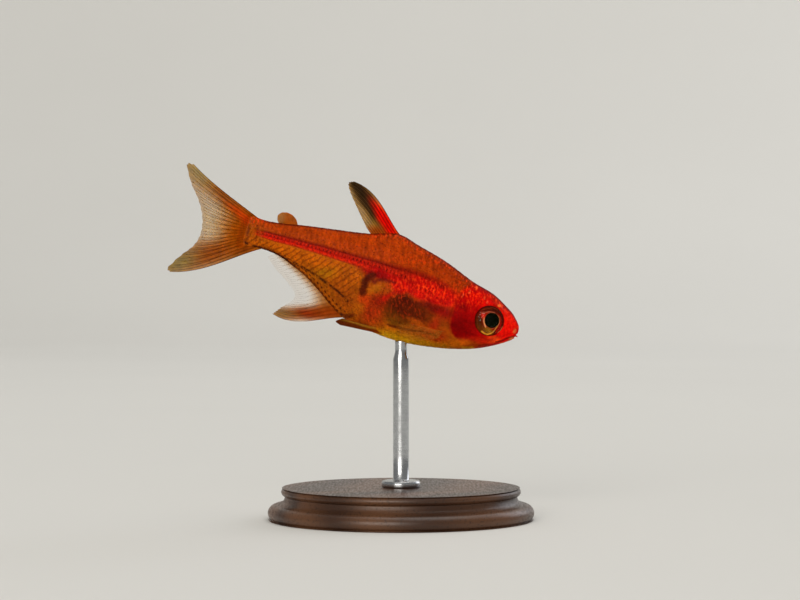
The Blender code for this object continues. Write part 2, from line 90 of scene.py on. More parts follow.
def add(tree, kind, inputs=None, **settings):
    """Add a node. Each input is a value for that socket, or another node's output to link."""
    node = tree.nodes.new("ShaderNode" + kind)
    for key, value in settings.items():
        setattr(node, key, value)
    for key, value in (inputs or {}).items():
        if isinstance(value, bpy.types.NodeSocket):
            tree.links.new(value, node.inputs[key])
        else:
            node.inputs[key].default_value = value
    return node


def new_finish(name):
    """A material with its node tree and its Principled shader."""
    made = bpy.data.materials.new(name)
    made.use_nodes = True
    return made, made.node_tree, made.node_tree.nodes["Principled BSDF"]


def new_object(name, points, faces, finish):
    """A smooth mesh object of these points, in metres, and faces."""
    mesh = bpy.data.meshes.new(name)
    mesh.from_pydata(np.asarray(points).reshape(-1, 3).tolist(), [], faces)
    mesh.shade_smooth()
    mesh.materials.append(finish)
    made = bpy.data.objects.new(name, mesh)
    bpy.context.scene.collection.objects.link(made)
    return made


def grid_faces(rows, columns, first=0, closed=False):
    """Quads of a grid of points, row by row. A closed grid joins its last column to its first."""
    index = first + np.arange(rows * columns).reshape(rows, columns)
    if closed:
        index = np.concatenate((index, index[:, :1]), 1)
    cells = np.stack((index[:-1, :-1], index[:-1, 1:], index[1:, 1:], index[1:, :-1]), -1)
    return cells.reshape(-1, 4)


def sweep_points(across, along):
    """Floor to SWEEP_BACK, then a quarter circle, then the wall, at a length along all three."""
    bend = SWEEP_ROUND * math.pi / 2
    flat = SWEEP_BACK - SWEEP_FRONT
    angle = np.clip((along - flat) / SWEEP_ROUND, 0, math.pi / 2)
    y = SWEEP_FRONT + np.minimum(along, flat) + SWEEP_ROUND * np.sin(angle)
    z = SWEEP_ROUND * (1 - np.cos(angle)) + np.maximum(along - flat - bend, 0)
    return np.stack(np.broadcast_arrays(across, y, z), -1)


def pale_paper():
    """Matt background paper: an even off-white whose faint cloudiness only breaks the flatness."""
    made, tree, shader = new_finish("matt_background_paper")
    place = add(tree, "TexCoord").outputs["Object"]
    cloud = add(tree, "TexNoise", {"Vector": place, "Scale": 9.0, "Detail": 3.0})
    mixed = add(
        tree, "Mix", {0: cloud.outputs["Fac"], 6: linear("#D3D2CE"), 7: linear("#D9D8D4")},
        data_type="RGBA",
    )
    tree.links.new(mixed.outputs[2], shader.inputs["Base Color"])
    shader.inputs["Roughness"].default_value = 0.9
    shader.inputs["Specular IOR Level"].default_value = 0.1
    return made


def area_light(name, place, target, size, power, colour):
    """A square soft light at place that faces target."""
    light = bpy.data.lights.new(name, "AREA")
    light.size = size
    light.energy = power
    light.color = linear(colour)[:3]
    made = bpy.data.objects.new(name, light)
    bpy.context.scene.collection.objects.link(made)
    made.location = place
    made.rotation_euler = (made.location - target).to_track_quat("Z", "Y").to_euler()


span = np.linspace(0, 1, SWEEP_COLUMNS)[None, :]
length = (SWEEP_BACK - SWEEP_FRONT) + SWEEP_ROUND * math.pi / 2 + SWEEP_HEIGHT
sweep = new_object(
    "paper_sweep",
    sweep_points((span - 0.5) * -SWEEP_WIDTH, np.linspace(0, length, SWEEP_ROWS)[:, None]),
    grid_faces(SWEEP_ROWS, SWEEP_COLUMNS).tolist(),
    pale_paper(),
)

middle = (CAD_BOX[0] + CAD_BOX[1]) / 2
area_light("front_light", (-0.30, -0.95, 0.36), middle, 0.7, 7.6, "#FFFAF2")
area_light("top_light", (0.15, 0.10, 0.95), middle, 0.8, 4.6, "#FFFDF8")
area_light("far_light", (0.55, 0.55, 0.40), middle, 0.5, 1.6, "#F6F8FF")
world = bpy.data.worlds.new("even_room")
bpy.context.scene.world = world
world.use_nodes = True
world.node_tree.nodes["Background"].inputs["Color"].default_value = linear("#F4F4F2")
world.node_tree.nodes["Background"].inputs["Strength"].default_value = 0.28

# Body. The skin is one unbroken surface from the lips to the tail's fleshy end, over the solids'
# outline, with the sockets, mouth, nostrils and gill covers in relief. Its colour lies under a
# clear, nearly matt film: red and orange pigment cells, dark ones, and silvery plates of guanine.
NOSE_TIP = -0.16
NOSE_ROUND = 0.24
BODY_END = 16.6
TAIL_ROUND = 0.3
BACK_ROUND = 0.95  # power of the cosine across the back: 1 is an ellipse, less is fuller
BELLY_ROUND = 0.82
BACK_LINE = (  # these four curves are (s, millimetres)
    (0.0, 0.11), (0.45, 0.52), (0.9, 0.78), (1.8, 1.20), (3.16, 1.50), (4.96, 2.06), (6.76, 2.43),
    (7.95, 2.65), (9.7, 2.11), (11.3, 1.76), (13.1, 1.39), (14.4, 1.07), (15.3, 0.92),
    (15.8, 0.92), (16.2, 0.98), (16.6, 1.08),
)
BELLY_LINE = (
    (0.0, -0.85), (0.45, -1.21), (1.35, -1.78), (2.25, -2.20), (4.5, -2.82), (6.3, -3.07),
    (7.2, -3.07), (9.5, -2.80), (10.4, -2.34), (11.3, -1.80), (12.2, -1.32), (13.1, -0.99),
    (14.0, -0.72), (15.3, -0.68), (15.8, -0.78), (16.2, -1.0), (16.6, -1.25),
)
WIDEST_LEVEL = ((0.0, -0.39), (1.6, -0.45), (3.4, -0.56), (5.6, -0.70), (9.6, -0.2), (14.0, 0.12))
HALF_WIDTH = (
    (0.0, 0.36), (0.45, 0.60), (0.9, 0.77), (1.6, 0.96), (2.5, 1.07), (3.6, 1.12), (5.5, 1.08),
    (7.5, 1.0), (9.6, 0.82), (11.5, 0.62), (13.5, 0.44), (15.2, 0.31),
    (15.7, 0.17), (16.0, 0.07), (16.25, 0.022), (16.6, 0.012),
)
PITCH = math.radians(19.2)  # head-down
ROD_S = 5.9  # the rod meets the belly here
BELLY_HEIGHT = 10.0  # of the belly at the rod, above the floor

EYE_RADIUS = 0.84
EYE_PLACE = (1.60, -0.27)  # s and h of its middle
EYE_FORWARD = math.radians(9)
EYE_UPWARD = math.radians(5)
ORBIT_DEPTH = -0.09  # of the skin round the eye, under the skin's oval at the eye's middle
SOCKET_DEPTH = 0.35
MOUTH_LINE = ((0.0, -0.60), (0.40, -0.85), (0.66, -1.09), (0.84, -1.20))  # (s, h), lips to corner
NOSTRILS = ((0.62, 0.26, 0.075), (0.80, 0.34, 0.06))  # s, h and radius of the two on each side
GILL_EDGE = (  # the gill cover's free edge, as (h, s)
    (-2.6, 2.3), (-2.03, 2.80), (-1.72, 3.27), (-1.24, 3.69), (-0.68, 3.80), (0.0, 3.72),
    (0.5, 3.55), (0.9, 3.3),
)
CHEEK_EDGE = (  # the hind edge of the cheek bone in front of the gill cover, as (h, s)
    (-1.9, 1.9), (-1.5, 2.45), (-1.0, 2.80), (-0.4, 2.95), (0.3, 2.98), (0.8, 2.9),
)
SKIN_RINGS = 440
SKIN_AROUND = 208
NOSE_RINGS = 18  # and as many round the tail's end
ARC_OVALS = 48  # ovals in an arc table, from very flat to very tall
ARC_STEPS = 600
ARC_SHARES = 129


def through(points, x):
    """Smooth curve through (x, y) points: cubics that slope at a point as its chords' mean."""
    px, py = np.array(points).T
    chord = np.diff(py) / np.diff(px)
    slope = np.concatenate((chord[:1], (chord[1:] + chord[:-1]) / 2, chord[-1:]))
    x = np.clip(x, px[0], px[-1])
    i = np.clip(np.searchsorted(px, x, side="right") - 1, 0, len(px) - 2)
    w = px[i + 1] - px[i]
    t = (x - px[i]) / w
    rise = t * t * (3 - 2 * t)
    bend = t * (1 - t) ** 2 * slope[i] - t * t * (1 - t) * slope[i + 1]
    return py[i] + (py[i + 1] - py[i]) * rise + w * bend


def smooth(x, low, high):
    """0 at low, 1 at high, and 3 t t - 2 t t t between them."""
    t = np.clip((x - low) / (high - low), 0, 1)
    return t * t * (3 - 2 * t)


def section(s):
    """Middle level, height above it, depth below it and half width of the body at s: the curves'
    values, closed at both ends by a quarter ellipse, the root of t (2 - t)."""
    nose = np.clip((s - NOSE_TIP) / NOSE_ROUND, 0, 1)
    tail = np.clip((BODY_END - s) / TAIL_ROUND, 0, 1)
    end = np.sqrt(nose * (2 - nose) * tail * (2 - tail))
    level = through(WIDEST_LEVEL, s)
    up = (through(BACK_LINE, s) - level) * end
    down = (level - through(BELLY_LINE, s)) * end
    return level, up, down, through(HALF_WIDTH, s) * end


def arc_table(power):
    """Arc length of the ovals y = r cos(a) ^ power, z = sin(a), and the angle at shares of it."""
    ratio = np.geomspace(0.03, 10, ARC_OVALS)[:, None]
    angle = np.linspace(0, math.pi / 2, ARC_STEPS)[None, :]
    y, z = ratio * np.cos(angle).clip(0) ** power, np.sin(angle) + 0 * ratio
    steps = np.hypot(np.diff(y, axis=1), np.diff(z, axis=1))
    run = np.concatenate((0 * ratio, np.cumsum(steps, 1)), 1)
    share = np.linspace(0, 1, ARC_SHARES)
    turned = np.stack([np.interp(share, row / row[-1], angle[0]) for row in run])
    return np.log(ratio[:, 0]), share, turned, run[:, -1]


BACK_ARCS = arc_table(BACK_ROUND)
BELLY_ARCS = arc_table(BELLY_ROUND)


def arc_angle(arcs, ratio, share):
    """The angle at a share of the arc, between the table's four nearest entries."""
    logs, shares, turned, _ = arcs
    ratio = np.clip(ratio, 0.031, 9.9)  # just inside the table
    row = (np.log(ratio) - logs[0]) / (logs[1] - logs[0])
    column = np.clip(share, 0, 1) * (len(shares) - 1)
    i, j = row.astype(int), np.minimum(column.astype(int), len(shares) - 2)
    a, b = row - i, column - j
    low = turned[i, j] * (1 - b) + turned[i, j + 1] * b
    high = turned[i + 1, j] * (1 - b) + turned[i + 1, j + 1] * b
    return low * (1 - a) + high * a


def side_lengths(s):
    """Length over the skin from the side's widest line to the back, and from it to the belly."""
    _, up, down, wide = section(s)
    lengths = []
    for height, arcs in ((up, BACK_ARCS), (down, BELLY_ARCS)):
        height = np.maximum(height, 1e-4)
        lengths.append(np.interp(np.log(wide / height), arcs[0], arcs[3]) * height)
    return lengths


def body(s, share, side):
    """Point (s, h, y) on the body's oval: share runs over the skin from -1, the belly's middle, by
    0, the widest line, to 1, the back's middle, and past 1 it comes down the other side."""
    over = np.abs(share) > 1
    share = np.where(over, np.sign(share) * 2 - share, share)
    side = np.where(over, -side, side)
    level, up, down, wide = section(s)
    tall = np.maximum(np.where(share > 0, up, down), 1e-4)
    ratio = wide / tall
    above = arc_angle(BACK_ARCS, ratio, share)
    below = arc_angle(BELLY_ARCS, ratio, -share)
    angle = np.where(share > 0, above, -below)
    power = np.where(share > 0, BACK_ROUND, BELLY_ROUND)
    y = side * wide * np.cos(angle).clip(0) ** power
    return np.stack(np.broadcast_arrays(s, level + tall * np.sin(angle), y), -1)


def unit(v):
    """Vectors made one long."""
    return v / np.maximum(np.linalg.norm(v, axis=-1, keepdims=True), 1e-12)


def body_normal(s, share, side):
    """Outward direction of the body: across two short steps along it and round it."""
    step = 0.01
    along = body(s + step, share, side) - body(s - step, share, side)
    around = body(s, share + step, side) - body(s, share - step, side)
    return unit(np.cross(along, around)) * np.sign(side)[..., None]


def posed(points):
    """(s, h, y) in millimetres to the frame in metres: x = h sin - s cos, z = h cos + s sin of the
    pitch, moved so that the belly at the rod is at its height over the stand's middle."""
    sine, cosine = math.sin(PITCH), math.cos(PITCH)
    belly = float(through(BELLY_LINE, ROD_S))
    x = points[..., 1] * sine - points[..., 0] * cosine - (belly * sine - ROD_S * cosine)
    z = points[..., 1] * cosine + points[..., 0] * sine + BELLY_HEIGHT
    z = z - (belly * cosine + ROD_S * sine)
    return np.stack((x, points[..., 2], z), -1) * MM


def eye_axes(side):
    """The eye's middle on the skin, the way it looks, and its forward and upward directions."""
    s, h = EYE_PLACE
    level, up, down, wide = section(np.array(s))
    share = (h - level) / up if h > level else (level - h) / down
    power = BACK_ROUND if h > level else BELLY_ROUND
    middle = np.array((s, h, side * wide * (1 - share**2) ** (power / 2)))
    out = side * math.cos(EYE_FORWARD)
    look = unit(np.array((-math.sin(EYE_FORWARD), math.sin(EYE_UPWARD), out)))
    up_way = unit(np.array((0.0, 1.0, 0.0)) - look[1] * look)
    forward = np.cross(look, up_way) * side
    return middle, look, forward * np.sign(-forward[0]), up_way


def eye_distance(points):
    """Distance of skin points from the axis of the eye on their own side, and their height along
    it. The point is mirrored to the left side, where y is positive."""
    middle, look, forward, upward = eye_axes(1)
    place = points * (1, 1, 0) + np.abs(points) * (0, 0, 1) - middle
    return np.hypot(place @ forward, place @ upward), place @ look


def line_distance(points, x, y):
    """Distance from each (x, y) to a curve drawn finely through the points, and its share there."""
    at = np.linspace(points[0][0], points[-1][0], 40)
    line = np.stack((at, through(points, at)), 1)
    gap = np.hypot(x[..., None] - line[:, 0], y[..., None] - line[:, 1])
    return gap.min(-1), gap.argmin(-1) / 39


def relief(points):
    """Height of the head's modelling over the plain oval: ridges and hollows added up, each a
    smooth step or a bell, exp(-(distance / width) ^ 2), beside its line or round its middle."""
    s, h = points[..., 0], points[..., 1]
    behind = s - through(GILL_EDGE, h)
    on_gill = smooth(h, -2.2, -1.75) * (1 - smooth(h, 0.3, 0.9))
    flap = 0.016 * smooth(behind, -0.7, -0.05) * (1 - smooth(behind, -0.01, 0.06))
    slit = -0.012 * smooth(behind, -0.01, 0.06) * (1 - smooth(behind, 0.06, 0.5))
    cheek = s - through(CHEEK_EDGE, h)
    on_cheek = smooth(h, -1.9, -1.4) * (1 - smooth(h, 0.4, 0.8))
    fold = 0.006 * smooth(cheek, -0.4, -0.02) * (1 - smooth(cheek, 0, 0.07))
    fold = fold - 0.003 * np.exp(-(((cheek - 0.09) / 0.05) ** 2))
    away, _ = eye_distance(points)
    rim = 0.02 * np.exp(-(((away - EYE_RADIUS - 0.1) / 0.07) ** 2))
    under_eye = 0.012 * np.exp(-(((away - 1.28) / 0.05) ** 2)) * smooth(-h, 0.2, 0.7)
    near = (s < 2.0).astype(float)
    mouth, part = line_distance(MOUTH_LINE, np.maximum(s, 0.0), h)
    thin = 1 - 0.55 * part
    lips = 0.055 * thin * np.exp(-(((mouth - 0.085) / 0.05) ** 2))
    lips = lips - 0.10 * thin * np.exp(-((mouth / 0.028) ** 2))
    pits = 0.0
    for hole_s, hole_h, radius in NOSTRILS:
        gap = np.hypot(s - hole_s, h - hole_h)
        pits = pits - 0.09 * np.exp(-((gap / (radius * 0.8)) ** 4))
        pits = pits + 0.02 * np.exp(-(((gap - radius * 1.35) / 0.03) ** 2))
    return (flap + slit) * on_gill + fold * on_cheek + rim + under_eye + near * (lips + pits)


def skin_points():
    """Rings of points from the nose to the tail's end, closer together over the head: the body's
    oval raised by the relief, brought level round each eye, and sunk there to make its socket."""
    turn = (np.arange(NOSE_RINGS) + 0.6) / NOSE_RINGS * math.pi / 2
    nose = NOSE_TIP + NOSE_ROUND * (1 - np.cos(turn))
    tail = BODY_END - TAIL_ROUND * (1 - np.cos(turn[::-1]))
    run = np.linspace(0, 1, SKIN_RINGS - 2 * NOSE_RINGS + 2)[1:-1]
    middle = nose[-1] + (tail[0] - nose[-1]) * (0.62 * run + 0.38 * run**2)
    s = np.concatenate((nose, middle, tail))[:, None]
    turn = np.arange(SKIN_AROUND)[None, :] / SKIN_AROUND
    share = np.where(turn <= 0.5, 1 - 4 * turn, 4 * turn - 3)
    side = np.where(turn < 0.5, 1.0, -1.0)
    points = body(s, share, side)
    along = np.gradient(points, axis=0)
    around = np.roll(points, -1, 1) - np.roll(points, 1, 1)
    raised = points + unit(np.cross(along, around)) * relief(points)[..., None]
    away, depth = eye_distance(raised)
    _, look, _, _ = eye_axes(1)
    near = (np.abs(raised[..., 2]) > 0.25) & (depth > -0.6)
    lift = (ORBIT_DEPTH - depth) * (1 - smooth(away, EYE_RADIUS + 0.04, EYE_RADIUS + 0.3)) * near
    sink = SOCKET_DEPTH * (1 - smooth(away, EYE_RADIUS - 0.08, EYE_RADIUS + 0.01)) * near
    mirrored = np.stack((np.ones_like(sink), np.ones_like(sink), np.sign(points[..., 2])), -1)
    return raised + look * mirrored * (lift - sink)[..., None]


def closed_rings(rings):
    """Points and faces of a closed surface through rings, with a pole at each end."""
    count, around = rings.shape[:2]
    poles = np.stack((rings[0].mean(0), rings[-1].mean(0)))
    points = np.concatenate((rings.reshape(-1, 3), poles))
    faces = grid_faces(count, around, closed=True).tolist()
    a = np.arange(around)
    b = (a + 1) % around
    first = np.stack((np.full(around, count * around), b, a), 1)
    last = (count - 1) * around
    end = np.stack((np.full(around, count * around + 1), last + a, last + b), 1)
    return points, faces + first.tolist() + end.tolist()


# The markings, as soft patches: colour, middle (s, h), half sizes, turn in degrees, softness and
# strength. Later ones lie over earlier ones.
PATCHES = (
    ("#A23004", 4.3, 1.35, 1.3, 0.7, 15, 0.7, 0.8),  # nape
    ("#A63A05", 13.8, 0.7, 2.2, 0.6, -8, 0.6, 0.6),  # top of the tail stalk
    ("#A24806", 16.5, 0.0, 0.8, 1.2, 0, 0.9, 1.0),  # the fleshy end of the tail
    ("#C85C05", 12.6, -0.35, 3.0, 0.45, -2, 0.6, 0.85),  # golden flesh below the stripe
    ("#A66A06", 11.1, -0.72, 0.8, 0.32, -20, 0.8, 0.7),
    ("#B65206", 9.9, -0.6, 0.8, 1.0, 20, 0.6, 0.7),
    ("#9A4206", 9.6, -1.75, 0.9, 0.7, 20, 0.6, 0.8),
    ("#9C4C06", 11.3, -1.35, 1.2, 0.3, 26, 0.6, 0.7),
    ("#A04E08", 4.9, -2.35, 1.5, 0.7, 0, 0.6, 0.8),  # belly
    ("#8A2A05", 4.5, -1.7, 1.1, 0.65, 0, 0.6, 0.8),
    ("#A62C05", 4.2, -2.12, 0.6, 0.24, -12, 0.7, 0.8),
    ("#B47608", 5.5, -2.86, 2.5, 0.34, -4, 0.7, 0.95),  # belly's golden edge
    ("#CC8E0C", 6.2, -3.02, 1.7, 0.2, -2, 0.8, 0.85),
    ("#962406", 7.95, -1.75, 0.72, 1.15, 10, 0.7, 0.9),  # column of red cells behind the gut
    ("#840E04", 7.6, -1.10, 0.5, 0.32, -35, 0.7, 0.8),
    ("#AA5606", 8.75, -2.0, 0.3, 0.45, 0, 0.6, 0.5),
    ("#A80604", 8.3, 0.22, 1.35, 0.36, 4, 0.5, 1.0),  # over the swim bladder
    ("#960604", 8.85, -0.02, 0.4, 0.26, 30, 0.7, 0.8),
    ("#AE4205", 8.10, -0.52, 0.78, 0.36, -32, 0.45, 0.95),  # swim bladder
    # painted highlight: the lighter gold spot on the silvered swim bladder
    ("#BA640A", 8.30, -0.66, 0.42, 0.20, -40, 0.8, 0.75),
    ("#C23606", 8.62, -1.45, 0.34, 0.26, 0, 0.8, 0.85),
    ("#C60C05", 5.5, 0.20, 2.2, 0.72, 3, 0.30, 1.0),  # red field behind the gills
    ("#9C0504", 6.8, 0.32, 0.7, 0.42, 0, 0.6, 0.75),
    ("#E61404", 7.02, -0.20, 0.42, 0.40, 30, 0.5, 1.0),
    ("#DC1606", 5.35, 0.22, 1.05, 0.38, -8, 0.6, 0.9),
    ("#7A0C05", 4.75, 0.72, 0.34, 0.14, -25, 0.6, 0.85),
    ("#6E0C04", 5.0, -0.64, 1.35, 0.24, -3, 0.6, 0.95),  # dark streak behind the gill cover
    ("#8A0604", 4.05, -0.95, 0.35, 0.35, 0, 0.6, 0.7),
    ("#662003", 5.7, -1.12, 1.2, 0.46, 4, 0.5, 0.9),  # gut
    ("#561503", 6.45, -1.15, 0.85, 0.66, 24, 0.42, 1.0),
    ("#480F02", 6.45, -0.70, 0.42, 0.24, 10, 0.6, 0.8),
    ("#4E1A03", 7.05, -1.35, 0.35, 0.42, 30, 0.6, 0.8),
    ("#8A0C04", 4.3, -0.72, 0.65, 0.34, -15, 0.7, 0.9),
    ("#984206", 4.45, -1.32, 0.55, 0.3, 0, 0.8, 0.8),
    ("#A82208", 4.50, -1.50, 0.26, 0.52, 8, 0.8, 0.8),
    ("#5A2A04", 6.6, -1.85, 0.75, 0.34, 6, 0.6, 0.8),
    ("#5E3805", 6.7, -2.15, 0.45, 0.2, 0, 0.7, 0.6),
    ("#521903", 5.75, -1.26, 1.0, 0.34, 4, 0.6, 0.8),
    ("#B04A0A", 5.3, -1.72, 0.65, 0.13, 8, 0.8, 0.9),  # where the breast fin lies
)
STROKES = (  # colour, half width, softness, strength and the (s, h) points of a line in the skin
    ("#8C0503", 0.10, 0.14, 0.9, ((7.9, 0.12), (8.3, 0.10), (8.65, -0.04), (8.85, -0.3))),
    ("#521303", 0.12, 0.18, 0.95, ((8.62, -0.10), (8.84, -0.34), (8.94, -0.72), (8.86, -1.12))),
    ("#66100A", 0.05, 0.06, 0.8, ((7.3, 0.02), (7.7, -0.02), (8.2, -0.14), (8.5, -0.42))),
    ("#C01206", 0.05, 0.14, 0.65, ((6.8, -0.42), (7.15, -0.5), (7.4, -0.75), (7.6, -1.05))),
    ("#4A1603", 0.045, 0.06, 0.75,
     ((6.9, -2.36), (6.4, -2.33), (5.6, -2.2), (4.9, -2.1), (4.2, -2.03))),
    ("#4A0C04", 0.04, 0.14, 0.75, ((9.5, -2.70), (9.15, -2.64), (8.95, -2.50))),
    ("#4A1204", 0.02, 0.07, 0.7, ((16.12, 0.3), (16.1, -0.2), (16.03, -0.6), (15.86, -1.0))),
    ("#4A0E04", 0.025, 0.05, 0.7, ((15.75, 0.5), (15.65, 0.1), (15.55, -0.35))),
)
HEAD_PATCHES = (
    ("#AE0803", 1.9, 0.95, 1.9, 0.7, 22, 0.5, 1.0),  # forehead
    ("#C2280A", 1.3, 0.72, 0.7, 0.22, 30, 0.6, 0.7),
    ("#E00A04", 2.6, 0.62, 0.95, 0.36, 12, 0.5, 0.95),  # behind the eye, above
    ("#A80303", 2.9, -0.3, 0.9, 0.7, 0, 0.5, 0.9),
    ("#820101", 3.0, -1.05, 0.85, 0.75, 18, 0.5, 1.0),  # cheek and gill cover
    ("#700101", 3.15, -1.32, 0.40, 0.36, 10, 0.8, 0.8),
    ("#8E1A04", 2.75, -1.80, 0.45, 0.14, -20, 0.9, 0.7),
    ("#720303", 3.3, -0.1, 0.28, 0.18, 0, 0.6, 0.7),
    ("#F20C04", 0.6, -0.2, 0.75, 0.85, -25, 0.45, 1.0),  # snout
    ("#FF2410", 0.62, 0.24, 0.35, 0.16, 35, 0.6, 0.7),
    ("#DA0E04", 0.9, -1.15, 0.9, 0.30, -32, 0.5, 0.95),  # jaw
    ("#FF4A10", 1.14, -1.22, 0.40, 0.17, -24, 0.6, 1.0),  # end of the upper jaw
    ("#D81C06", 1.55, -1.40, 0.4, 0.13, -22, 0.6, 0.8),
    ("#A81A05", 2.0, -1.56, 0.7, 0.16, -24, 0.7, 0.8),
    ("#A23A08", 2.15, -1.92, 0.50, 0.17, -26, 0.9, 0.75),
    ("#B25208", 3.00, -2.16, 0.85, 0.26, -12, 0.7, 0.95),
    ("#D05A0A", 2.50, -1.92, 0.30, 0.15, -20, 0.9, 0.8),
    ("#F07A3C", 0.08, -0.34, 0.08, 0.13, 0, 0.7, 0.8),  # lips
    ("#F08040", 0.14, -0.80, 0.13, 0.08, -35, 0.6, 0.95),
    ("#FF7A2E", 1.38, 0.68, 0.10, 0.075, 0, 0.5, 0.95),  # bright cells over the eye and on the nape
    ("#FF6A34", 2.92, 1.20, 0.06, 0.10, 0, 0.5, 0.9),
    ("#FF5A2A", 3.2, 0.85, 0.05, 0.12, 10, 0.5, 0.9),
    ("#FF4A24", 2.3, 0.84, 0.06, 0.09, 0, 0.5, 0.8),
    ("#FF5030", 2.1, 0.66, 0.05, 0.08, 0, 0.5, 0.7),
    ("#FF5A30", 3.5, 0.56, 0.05, 0.13, 10, 0.5, 0.8),
)
HEAD_STROKES = (
    ("#8E2E06", 0.06, 0.14, 0.6, ((1.3, -1.62), (1.7, -1.82), (2.1, -2.0), (2.4, -2.12))),  # throat
    ("#B4760F", 0.06, 0.16, 0.9, ((2.0, -2.10), (2.4, -2.25), (2.9, -2.40), (3.5, -2.58))),
    # painted shade: the dark line in the slit between the lips, along the mouth line
    ("#560402", 0.03, 0.05, 0.65, ((0.0, -0.60), (0.40, -0.86), (0.66, -1.10), (0.90, -1.26))),
    ("#6E0603", 0.03, 0.07, 0.5, ((0.75, -1.30), (1.0, -1.44), (1.3, -1.60), (1.7, -1.80))),
    ("#D88A44", 0.012, 0.04, 0.6, ((0.14, -0.88), (0.28, -1.01), (0.44, -1.15), (0.62, -1.26))),
)
HEAD_EDGE = (  # where the head's red ends, as (h, s)
    (-2.6, 2.3), (-2.03, 2.80), (-1.72, 3.27), (-1.24, 3.69), (-0.68, 3.80), (0.0, 3.74),
    (0.5, 3.72), (0.9, 3.62), (1.25, 3.3), (1.6, 3.0),
)
STRIPE_TOP = (  # upper dark line of the side stripe
    (4.2, 0.35), (4.6, 0.78), (5.1, 0.92), (6.2, 0.98), (7.3, 0.95), (8.5, 0.86), (10.1, 0.75),
    (12.4, 0.60), (14.6, 0.41), (15.5, 0.33),
)
STRIPE_LOW = (
    (4.2, -0.4), (7.3, -0.2), (8.5, 0.10), (9.3, 0.12), (10.1, 0.10), (12.4, 0.05), (13.5, 0.0),
    (14.6, -0.08), (15.5, -0.09),
)
INNER_LINE = (  # dark line of the muscles that move the anal fin
    (9.5, -1.85), (9.92, -1.63), (10.31, -1.47), (10.82, -1.32), (11.44, -1.13), (12.12, -0.96),
    (12.85, -0.84), (13.6, -0.74), (14.6, -0.66),
)
BORDER_PITCH = 0.37  # of the muscle blocks' borders below the stripe
DASH_PITCH = 0.22  # of the dark dashes along the stripe
DASH_LEVEL = 0.58  # of their row, as a share of the way across the stripe
SPECK_PITCH = 0.28  # of the two rows of specks over the anal fin
BARS_PER_MM = (5.6, 1.3, 1.0)  # fine muscle bars, along the fish and up it
GRAINS_PER_MM = (9.0, 7.0, 1.0)  # the stripe's grain
GLINT_FLECKS_PER_MM = (8.0, 4.6, 1.0)  # painted glints of the iridescent cells


def patch(s, h, place, size, turn, softness):
    """1 inside a turned oval and 0 outside, over an edge that is softness of its size wide."""
    turn = math.radians(turn)
    across, above = s - place[0], h - place[1]
    a = (across * math.cos(turn) + above * math.sin(turn)) / size[0]
    b = (above * math.cos(turn) - across * math.sin(turn)) / size[1]
    return 1 - smooth(np.hypot(a, b), 1 - softness, 1 + softness)


def stroke(s, h, half, softness, line):
    """1 within half of a smooth curve through the line's points, falling to 0 over softness."""
    at = np.linspace(0, 1, len(line))
    run = np.linspace(0, 1, 12 * len(line))
    curve = [through(np.stack((at, np.array(line)[:, k]), 1), run) for k in range(2)]
    gap = np.hypot(s[..., None] - curve[0], h[..., None] - curve[1]).min(-1)
    return 1 - smooth(gap, half, half + softness)


def painted(colour, s, h, patches, strokes):
    """The colour with these patches and strokes laid over it, by mask times strength."""
    layers = [
        (tint, patch(s, h, (at_s, at_h), (a, b), turn, softness) * strength)
        for tint, at_s, at_h, a, b, turn, softness, strength in patches
    ]
    layers += [
        (tint, stroke(s, h, half, softness, line) * strength)
        for tint, half, softness, strength, line in strokes
    ]
    for tint, mask in layers:
        colour = colour + (np.array(linear(tint)[:3]) - colour) * mask[..., None]
    return colour


def wobble(s, h, y, period):
    """Gentle unevenness between -1 and 1: the mean of five sine waves in different directions."""
    draw = np.random.default_rng(7)
    total = 0.0
    for _ in range(5):
        a, b, c = draw.normal(size=3)
        total = total + np.sin((a * s + b * h + c * y) * 2.6 / period + draw.uniform(0, 6.3))
    return total / 5


def skin_tint(points):
    """The ground colour, orange above and golden below, then the markings laid over it. The head's
    own markings end at the gill cover's edge and fade into the nape above it."""
    s, h, y = np.moveaxis(points, -1, 0)
    edge_s, edge_h = s, h
    s = s + 0.03 * wobble(y, h, s, 0.16)
    s = s + 0.07 * wobble(s, h, y, 0.8) + 0.03 * wobble(h, y, s, 0.3)
    h = h + 0.05 * wobble(h, s, y, 0.7) + 0.03 * wobble(y, s, h, 0.28)
    back, belly = through(BACK_LINE, edge_s), through(BELLY_LINE, edge_s)
    ground = np.zeros(s.shape + (3,)) + linear("#AA5005")[:3]
    above = smooth(h, 0.25, 0.6)[..., None]
    ground = ground + (np.array(linear("#AE3803")[:3]) - ground) * above
    colour = painted(ground, s, h, PATCHES, STROKES)
    behind = s - through(HEAD_EDGE, h)
    ahead = 1 - smooth(behind, -0.16 - 0.06 * smooth(h, 0, 1), 0.12 + 0.06 * smooth(h, 0, 1))
    red = np.zeros_like(ground) + linear("#A60503")[:3]
    head = painted(red, s, h, HEAD_PATCHES, HEAD_STROKES)
    colour = colour + (head - colour) * ahead[..., None]

    def lay(colour, hex_colour, mask):
        return colour + (np.array(linear(hex_colour)[:3]) - colour) * mask[..., None]

    # painted shade: a dark line in the slit under the gill cover's free edge
    slit = np.exp(-(((behind - 0.05) / 0.06) ** 2))
    slit = slit * (1 - smooth(h, -0.3, 0.5)) * smooth(h, -1.9, -1.5)
    colour = lay(colour, "#6A0603", 0.25 * slit)
    body_end = 1 - smooth(edge_s, 15.1, 15.7)
    colour = lay(colour, "#4E1002", 0.8 * body_end * (1 - smooth(back - edge_h, 0.02, 0.16)))
    stalk = smooth(s, 9.3, 10.2) * body_end
    rear = smooth(s, 12.6, 13.6)
    under = 1 - smooth(edge_h - belly, 0.03, 0.14 + 0.05 * rear)
    return lay(colour, "#3E0C03", (0.75 + 0.2 * rear) * stalk * under)


